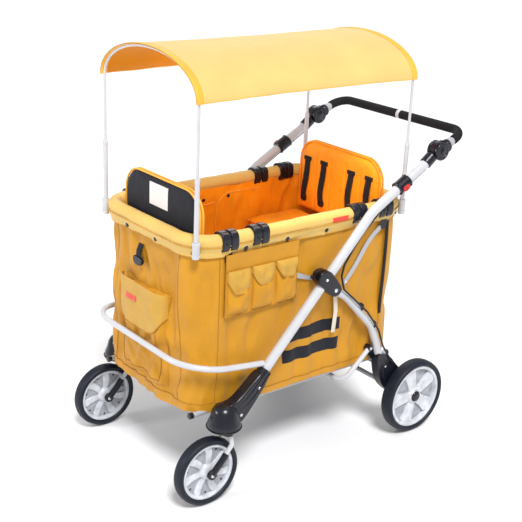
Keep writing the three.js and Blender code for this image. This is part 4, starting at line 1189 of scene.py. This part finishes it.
def side_bag():
    """A hanging organiser outside the strut, with three pockets under round flaps."""
    start, width = -304, 259
    top, flap_seam = 742, 692
    back = 254.2

    def spot(y, out, z):
        return mm(back + out, y, z)

    def sheet(name, y_range, z_of, out, look, cells=(24, 24)):
        columns, rows = cells
        front, rear = [], []
        for i in range(columns + 1):
            u = i / columns
            y = y_range[0] + (y_range[1] - y_range[0]) * u
            low, high = z_of(u)
            for j in range(rows + 1):
                z = low + (high - low) * j / rows
                lift = out(u, j / rows, y, z)
                front.append(spot(y, lift, z))
                rear.append(spot(y, min(lift - 1.2, 0.2 if out is not hung else lift - 1.8), z))
        return piece(name, *closed_grid(front, rear, columns, rows), look, smooth_angle=60)

    def hung(u, v, y, z):
        return 2.2 + 3.5 * noise_at((y / 40, z / 60, 3)) * (1 - v) + 4.5 * v ** 6
    base = sheet("organiser_back", (start, start + width), lambda u: (552 + 6 * u, top), hung, YELLOW,
                 (40, 30))
    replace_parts(base, "side_organiser")
    pocket = width / 3
    for k in range(3):
        first, last = start + pocket * k + 6, start + pocket * (k + 1) - 3

        def full(u, v, y, z, k=k):
            return 2 + (15 + 9 * noise_at((y / 24, z / 40, k))) * bulge(u, v, 3)
        sheet(f"organiser_pocket_{k}", (first, last), lambda u: (560, 668), full, YELLOW)

        def flap(u, v, y, z, k=k):
            full_edge = bulge(u, min(1, 0.2 + 0.75 * v), 3)
            return 3.6 + (16 + 7 * noise_at((y / 20, z / 28, 5 + k))) * full_edge
        drop = (622, 634, 640)[k]

        def outline(u, drop=drop):
            return drop + 40 * abs(2 * u - 1) ** 3, flap_seam
        # The flaps' paler yellow is the walls' cloth with a painted highlight.
        sheet(f"organiser_flap_{k}", (first - 1, last + 1), outline, flap, FLAP_LIT_YELLOW)
        # The flap's piping uses the seam yellow, darkened as painted shade along its crease.
        edge = []
        for i in range(31):
            u = i / 30
            y = first - 1 + (last - first + 2) * u
            z = outline(u)[0]
            edge.append(spot(y, flap(u, 0, y, z) + 0.5, z))
        seam(f"organiser_piping_{k}", edge, SEAM_SHADE_YELLOW, 1.3)
    # The organiser's edge and top seams use the seam yellow, darkened as painted shade.
    frame = [(start, top), (start, 553), (start + width, 559), (start + width, top)]
    for k, (a, b) in enumerate(zip(frame, frame[1:])):
        line = [spot(a[0] + (b[0] - a[0]) * i / 20, 2.6, a[1] + (b[1] - a[1]) * i / 20) for i in range(21)]
        seam(f"organiser_edge_{k}", line, SEAM_SHADE_YELLOW, 1.6)
    seam("organiser_top_seam", [spot(start + width * i / 20, 4.6, flap_seam) for i in range(21)],
         SEAM_SHADE_YELLOW, 1.3)


def side_marks():
    """Two plain stripes on the side, and small plain tabs."""
    def flat(along, z, u, v):
        return wall_out(along, z) + 0.9

    for k, (low, high) in enumerate(((412, 452), (346, 386))):
        for label, s in SIDES.items():
            span = (on_side(-70), on_side(150))
            if s < 0:
                span = (AROUND - span[1], AROUND - span[0])
            patch(f"side_stripe_{label}_{k}", span, (low, high), flat, BLACK_CLOTH, under=2, cells=(50, 10))
    for label, s in SIDES.items():
        along = mirrored(on_side(112), s)
        patch(f"rim_red_tab_{label}", (along - 30, along + 30), (RIM_Z - 8, RIM_Z + 6),
              lambda along, z, u, v: ROLL + 0.6 - abs(z - RIM_Z) * 0.1, RED_TAB, under=9, cells=(10, 4))


def stuffed(name, outline, low, high, plane, cap, edge, shrink=3.0, spacing=6.0):
    """A cushion blown up by Blender's cloth, from a slightly smaller rounded block."""
    middle = (sum(p[0] for p in outline) / len(outline), sum(p[1] for p in outline) / len(outline))
    smaller = []
    for a, b in outline:
        length = math.hypot(a - middle[0], b - middle[1])
        smaller.append((middle[0] + (a - middle[0]) * (1 - shrink / length),
                        middle[1] + (b - middle[1]) * (1 - shrink / length)))
    made = plate(name, smaller, low + shrink, high - shrink, ORANGE, None, plane, edge, 4)
    made.modifiers["edge"].harden_normals = False
    bpy.context.view_layer.objects.active = made
    apply_all(made)
    remesh = made.modifiers.new("even", "REMESH")
    remesh.mode = "VOXEL"
    remesh.voxel_size = spacing / 1000
    apply_all(made)
    start = [v.co.copy() for v in made.data.vertices]
    cloth = made.modifiers.new("swell", "CLOTH")
    cloth.settings.use_pressure = True
    cloth.settings.uniform_pressure_force = 4
    cloth.settings.quality = 5
    cloth.settings.effector_weights.gravity = 0
    for step in range(1, 21):
        bpy.context.scene.frame_set(step)
    apply_all(made)
    bpy.context.scene.frame_set(1)
    for vertex, was in zip(made.data.vertices, start):
        moved = vertex.co - was
        if moved.length > cap / 1000:
            vertex.co = was + moved.normalized() * cap / 1000
    divide = made.modifiers.new("divide", "SUBSURF")
    divide.levels = 1
    apply_all(made)
    made.data.polygons.foreach_set("use_smooth", [True] * len(made.data.polygons))
    return made


def apply_all(made):
    """The modifiers' result becomes the mesh."""
    whole = bpy.data.meshes.new_from_object(made.evaluated_get(bpy.context.evaluated_depsgraph_get()))
    made.modifiers.clear()
    made.data = whole


def press(made, depth_at):
    """Sewn channels and wrinkles: each point moves in along its normal."""
    normals = [v.normal.copy() for v in made.data.vertices]
    for vertex, normal in zip(made.data.vertices, normals):
        spot = vertex.co
        vertex.co = spot - normal * depth_at(spot.x * 1000, (spot.y - CABIN_Y) * 1000, spot.z * 1000,
                                             normal) / 1000


def groove(distance, width):
    return math.exp(-((distance / width) ** 2))


def rounded_box(x0, x1, y0, y1, r, steps=6):
    corners = ((x1 - r, y1 - r, 0), (x0 + r, y1 - r, 90), (x0 + r, y0 + r, 180), (x1 - r, y0 + r, 270))
    return [(x + r * math.cos(math.radians(first + 90 * k / steps)),
             y + r * math.sin(math.radians(first + 90 * k / steps))) for x, y, first in corners
            for k in range(steps + 1)]


def bench(end, t):
    y0, y1 = sorted((BENCH_FRONT * t, BENCH_BACK * t))
    corner = rounded_box(-BENCH_W, BENCH_W, y0, y1, 22)
    seat = stuffed(f"bench_cushion_{end}", corner, BENCH_TOP - BENCH_CUSHION, BENCH_TOP, "xy", 7, 12)

    def sewn(x, y, z, normal):
        top = max(0, normal.z)
        quilted = groove(abs(x) - 74, 5)
        return 4.5 * top * quilted + 0.9 * noise_at((x / 26, y / 26, z / 26))
    press(seat, sewn)
    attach(seat, "chassis")
    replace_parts(seat, f"bench_{end}")
    y = BENCH_FRONT * t
    skirt_low, skirt_high = CABIN_LOW + 9, BENCH_TOP - BENCH_CUSHION + 4

    def hang(x, z):
        return y - 2.5 * t * noise_at((x / 45, z / 160, t)) - 1.5 * t
    front = []
    for i in range(61):
        x = -BENCH_W + 2 * BENCH_W * i / 60
        for j in range(31):
            z = skirt_low + (skirt_high - skirt_low) * j / 30
            front.append(mm(x, hang(x, z), z))
    back = [p + Vector((0, 0.012 * t, 0)) for p in front]
    piece(f"bench_skirt_{end}", *closed_grid(front, back, 60, 30), ORANGE, smooth_angle=60)
    edge = [mm(x, y + 1.5 * t, BENCH_TOP - 9) for x in range(-BENCH_W + 12, BENCH_W - 11, 12)]
    seam(f"bench_piping_{end}", edge, ORANGE_PIPE, 2.2)


def back_outline(width, low, top, corner, steps=10):
    arc = [(width - corner + corner * math.cos(math.pi / 2 * k / steps),
            top - corner + corner * math.sin(math.pi / 2 * k / steps)) for k in range(steps + 1)]
    return [(width, low), *arc, *[(-x, z) for x, z in reversed(arc)], (-width, low)]


def backrest(end, t):
    body = f"{end}_back"
    outer, inner = BACK_FACE * t, (BACK_FACE - BACK_THICK) * t
    low, high = sorted((outer, inner))
    foot = BENCH_TOP + 8
    shape = back_outline(BACK_W, foot, BACK_TOP, BACK_R)
    made = stuffed(f"back_cushion_{end}", shape, low, high, "xz", 5, 5, shrink=1.0, spacing=5)

    def sewn(x, y, z, normal):
        inside = max(0, -normal.y * t)
        quilted = sum(groove(abs(x) - place, 4) for place in (36, 106)) * (z < BACK_TOP - 40)
        return 2.6 * inside * quilted + 0.8 * noise_at((x / 30, y / 30, z / 50))
    press(made, sewn)
    made.data.materials.append(BLACK_CLOTH if t < 0 else YELLOW)
    for face in made.data.polygons:
        if face.normal.y * t > 0.35:
            face.material_index = 1
    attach(made, body)
    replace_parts(made, f"backrest_{end}")
    edge = refine([(x, 0, z) for x, z in back_outline(BACK_W - 2.2, foot + 6, BACK_TOP - 2.2, BACK_R)], 5)
    look = HEM_YELLOW if t < 0 else ORANGE
    for name, y in (("outer", outer - 3.4 * t), ("inner", inner + 3.4 * t)):
        seam(f"back_piping_{name}_{end}", [mm(p.x, y, p.z) for p in edge], look, 3.2, body,
             slot="orange_fabric")
    return made


def refine(line, count):
    """The same line with every stretch cut into equal steps."""
    line = [Vector(p) for p in line]
    dense = [a.lerp(b, k / count) for a, b in zip(line, line[1:]) for k in range(count)]
    return dense + [line[-1]]


def strap(name, line, half, thickness, look, body="chassis", across=Vector((1, 0, 0))):
    """A flat strap of webbing along a route in millimetres."""
    section = ((-1, -0.6), (-0.94, -1), (0.94, -1), (1, -0.6), (1, 0.6), (0.94, 1), (-0.94, 1), (-1, 0.6))
    rings = []
    for i, spot in enumerate(line):
        ahead = (Vector(line[min(i + 1, len(line) - 1)]) - Vector(line[max(i - 1, 0)])).normalized()
        side_way = (across - ahead * across.dot(ahead)).normalized()
        face = ahead.cross(side_way)
        centre = Vector(spot)
        rings.append([mm(*(centre + side_way * a * half + face * b * thickness / 2)) for a, b in section])
    points, faces = skin(rings)
    piece(name, points, faces, look, body, smooth_angle=60)


def surface_of(made):
    """Gives the place, in mm along y, where a line level with y first meets the piece."""
    tree = BVHTree.FromPolygons([v.co for v in made.data.vertices],
                                [tuple(f.vertices) for f in made.data.polygons])

    def meet(x, z, start, way):
        hit = tree.ray_cast(mm(x, start, z), Vector((0, way, 0)))[0]
        return (hit.y - CABIN_Y) * 1000
    return meet


def on_pad(name, outline, meet, t, thickness, look, body):
    """A small plate lying on the inner face of a back cushion, at the height of its middle."""
    x = sum(p[0] for p in outline) / len(outline)
    z = sum(p[1] for p in outline) / len(outline)
    face = meet(x, z, 0, t)
    plate(name, outline, face + 3 * t, face - thickness * t, look, body, plane="xz", edge=thickness / 4)


def harness(end, t, cushion):
    """Two pairs of shoulder straps on a backrest, ending in small buckles."""
    meet = surface_of(cushion)
    body = f"{end}_back"
    for k, x in enumerate((-146, -65, 65, 146)):
        line = []
        for i in range(25):
            v = i / 24
            z = 842 - 146 * v
            across = x + 6 * math.sin(6 * v + k) * v - 9 * v
            slack = 0.6 + 2.2 * math.sin(math.pi * v) + 2 * abs(noise_at((k, 6 * v, t)))
            line.append((across, meet(across, z, 0, t) - t * slack, z))
        strap(f"strap_{end}_{k}", line, 12.5, 2.2, WEBBING, body)
        foot = line[-1][0]
        buckle = soften([(foot - 15, 692), (foot + 15, 692), (foot + 13, 718), (foot - 13, 718)], 1)
        on_pad(f"strap_buckle_{end}_{k}", buckle, meet, t, 2.8, BLACK, body)
        anchor = [(x - 17, 836), (x + 17, 836), (x + 17, 849), (x - 17, 849)]
        on_pad(f"strap_anchor_{end}_{k}", anchor, meet, t, 3.4, WEBBING, body)


def plain_patch(cushion):
    """The front back's outer face carries a plain pale patch."""
    meet = surface_of(cushion)
    face = min(meet(x, z, -600, 1) for x in (-48, -5, 39) for z in (822, 852, 882))
    plate("plain_patch", [(-51, 819), (42, 819), (42, 885), (-51, 885)], face - 1, face + 4, LABEL,
          "front_back", plane="xz", edge=0.6)


def small_things():
    """Loops, buckles and webbing on the outside of the cabin."""
    ring = [mm(-20 + a, -RIM_L - 19, 664 + b * 2 / 3) for a, b in [*circle(15, 20), (15, 0)]]
    seam("front_ring", ring, BLACK, 2.6)
    strap("front_loop", [(-20, -RIM_L - 8, 712), (-20, -RIM_L - 17, 692), (-20, -RIM_L - 19, 672)], 12, 2.4,
          WEBBING)
    plate("front_clip", soften([(-40, 648), (-2, 648), (6, 674), (-46, 678)], 2), -RIM_L - 24, -RIM_L - 13,
          BLACK, plane="xz", edge=2.5)
    for label, s in SIDES.items():
        corner = [(*rim_point(mirrored(on_side(322), s) / AROUND, 9 + 2 * math.sin(i / 5))[:2],
                   735 - i * 13) for i in range(25)]
        strap(f"corner_web_{label}", corner, 6, 2.2, WEBBING, across=Vector((0, 1, 0)))
        hanging = [(254 * s, 104, 566), (256 * s, 116, 530), (258 * s, 120, 480), (256 * s, 116, 410)]
        strap(f"leg_strap_{label}", bend_route(hanging, 16, 4), 8, 2, CREAM_WEB, across=Vector((0, 1, 0)))
    inner = [(226, -150, 752), (221, -150, 735), (219, -148, 716)]
    strap("inner_strap", inner, 13, 2.4, WEBBING, across=Vector((0, 1, 0)))
    plate("inner_buckle", soften([(-168, 690), (-130, 690), (-134, 722), (-164, 722)], 2), 208, 219, BLACK,
          edge=3)


# ------------------------------------------------------------------ canopy


def arch(angle, grow=0.0):
    """The canopy's arc seen from the front: x and z, at an angle from 0 on the +X side."""
    return (POLE_X + grow) * math.cos(angle), EAVE + (RISE + grow) * math.sin(angle)


def canopy():
    body = "canopy"
    low = RIM_Z - 25.7
    for end, t in ENDS.items():
        y = POLE_Y * t
        arc = [arch(math.pi * k / 40) for k in range(41)]
        bow = [(POLE_X, y, low), (POLE_X, y, 1050), *[(x, y, z) for x, z in arc], (-POLE_X, y, 1050),
               (-POLE_X, y, low)]
        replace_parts(tube(f"canopy_bow_{end}", bow, 4.2, WHITE, body, count=20), f"canopy_frame_{end}")
        for label, s in SIDES.items():
            tube(f"pole_sleeve_{end}_{label}", [(POLE_X * s, y, low), (POLE_X * s, y, POLE_STEP)], 7, WHITE,
                 body)
            cap = [(0, 0), (7, 0), (7.6, 2), (7.6, 14), (6, 18), (0, 18)]
            turn(f"pole_cap_{end}_{label}", cap, (POLE_X * s, y, POLE_STEP - 10), WHITE, body, axis="Z",
                 count=28)
    columns, rows = 72, 96
    half = POLE_Y + OVERHANG

    def cloth(k, j, lift):
        angle = math.pi * (k / rows)
        v = 2 * j / columns - 1
        sag = 1 - v * v
        slack = sag * (3 + 5 * math.sin(angle) ** 2)
        ripple = 1.3 * noise_at((3 * k / rows * 2.2, 2.2 * v, 4))
        ripple += 0.8 * sag * math.sin(v * 9) * math.cos(angle * 2)
        edge = 2.0 * noise_at((v * 5, 2 if k < rows / 2 else 8, 1)) * (math.cos(angle) ** 10)
        x, z = arch(angle, 5.2 + lift - slack * 0.55 + ripple * sag)
        drop = 4.0 * sag * abs(math.cos(angle)) ** 6
        return mm(x, half * v, z + drop + edge)
    front = [cloth(k, j, 0.9) for k in range(rows + 1) for j in range(columns + 1)]
    back = [cloth(k, j, -0.5) for k in range(rows + 1) for j in range(columns + 1)]
    sheet = piece("canopy_cloth", *closed_grid(front, back, rows, columns), CANOPY_YELLOW, body,
                  smooth_angle=60)
    sheet.data.materials.append(CANOPY_UNDER)
    for face in sheet.data.polygons:
        centre = face.center
        if face.normal.dot(centre - Vector((0, centre.y, EAVE / 1000 - 0.1))) < 0:
            face.material_index = 1
    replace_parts(sheet, "canopy_fabric")
    for end, (first, last) in (("front", (0, 2)), ("rear", (columns - 2, columns))):
        steps = 6
        outer, under = [], []
        for k in range(rows + 1):
            for i in range(steps + 1):
                j = first + (last - first) * i / steps
                swell = 1.6 * math.sin(math.pi * i / steps)
                outer.append(cloth(k, j, 1.6 + swell))
                under.append(cloth(k, j, -1.3 - swell))
        piece(f"canopy_hem_{end}", *closed_grid(outer, under, rows, steps), HEM_YELLOW, body,
                          smooth_angle=60)
        seam(f"canopy_stitch_{end}", [cloth(k, last if end == "front" else first, 1.6)
                                                  for k in range(rows + 1)], HEM_YELLOW, 0.8, body)
    for label, k in (("left", 0), ("right", rows)):
        seam(f"canopy_edge_{label}", [cloth(k, j, 0.2) for j in range(columns + 1)], HEM_YELLOW,
                         1.7, body)


walls()
rim_cover()
upright_seams()
lining_seams()
front_bag()
side_bag()
side_marks()
for end, t in ENDS.items():
    bench(end, t)
    cushion = backrest(end, t)
    harness(end, t, cushion)
    if end == "front":
        plain_patch(cushion)
small_things()
canopy()
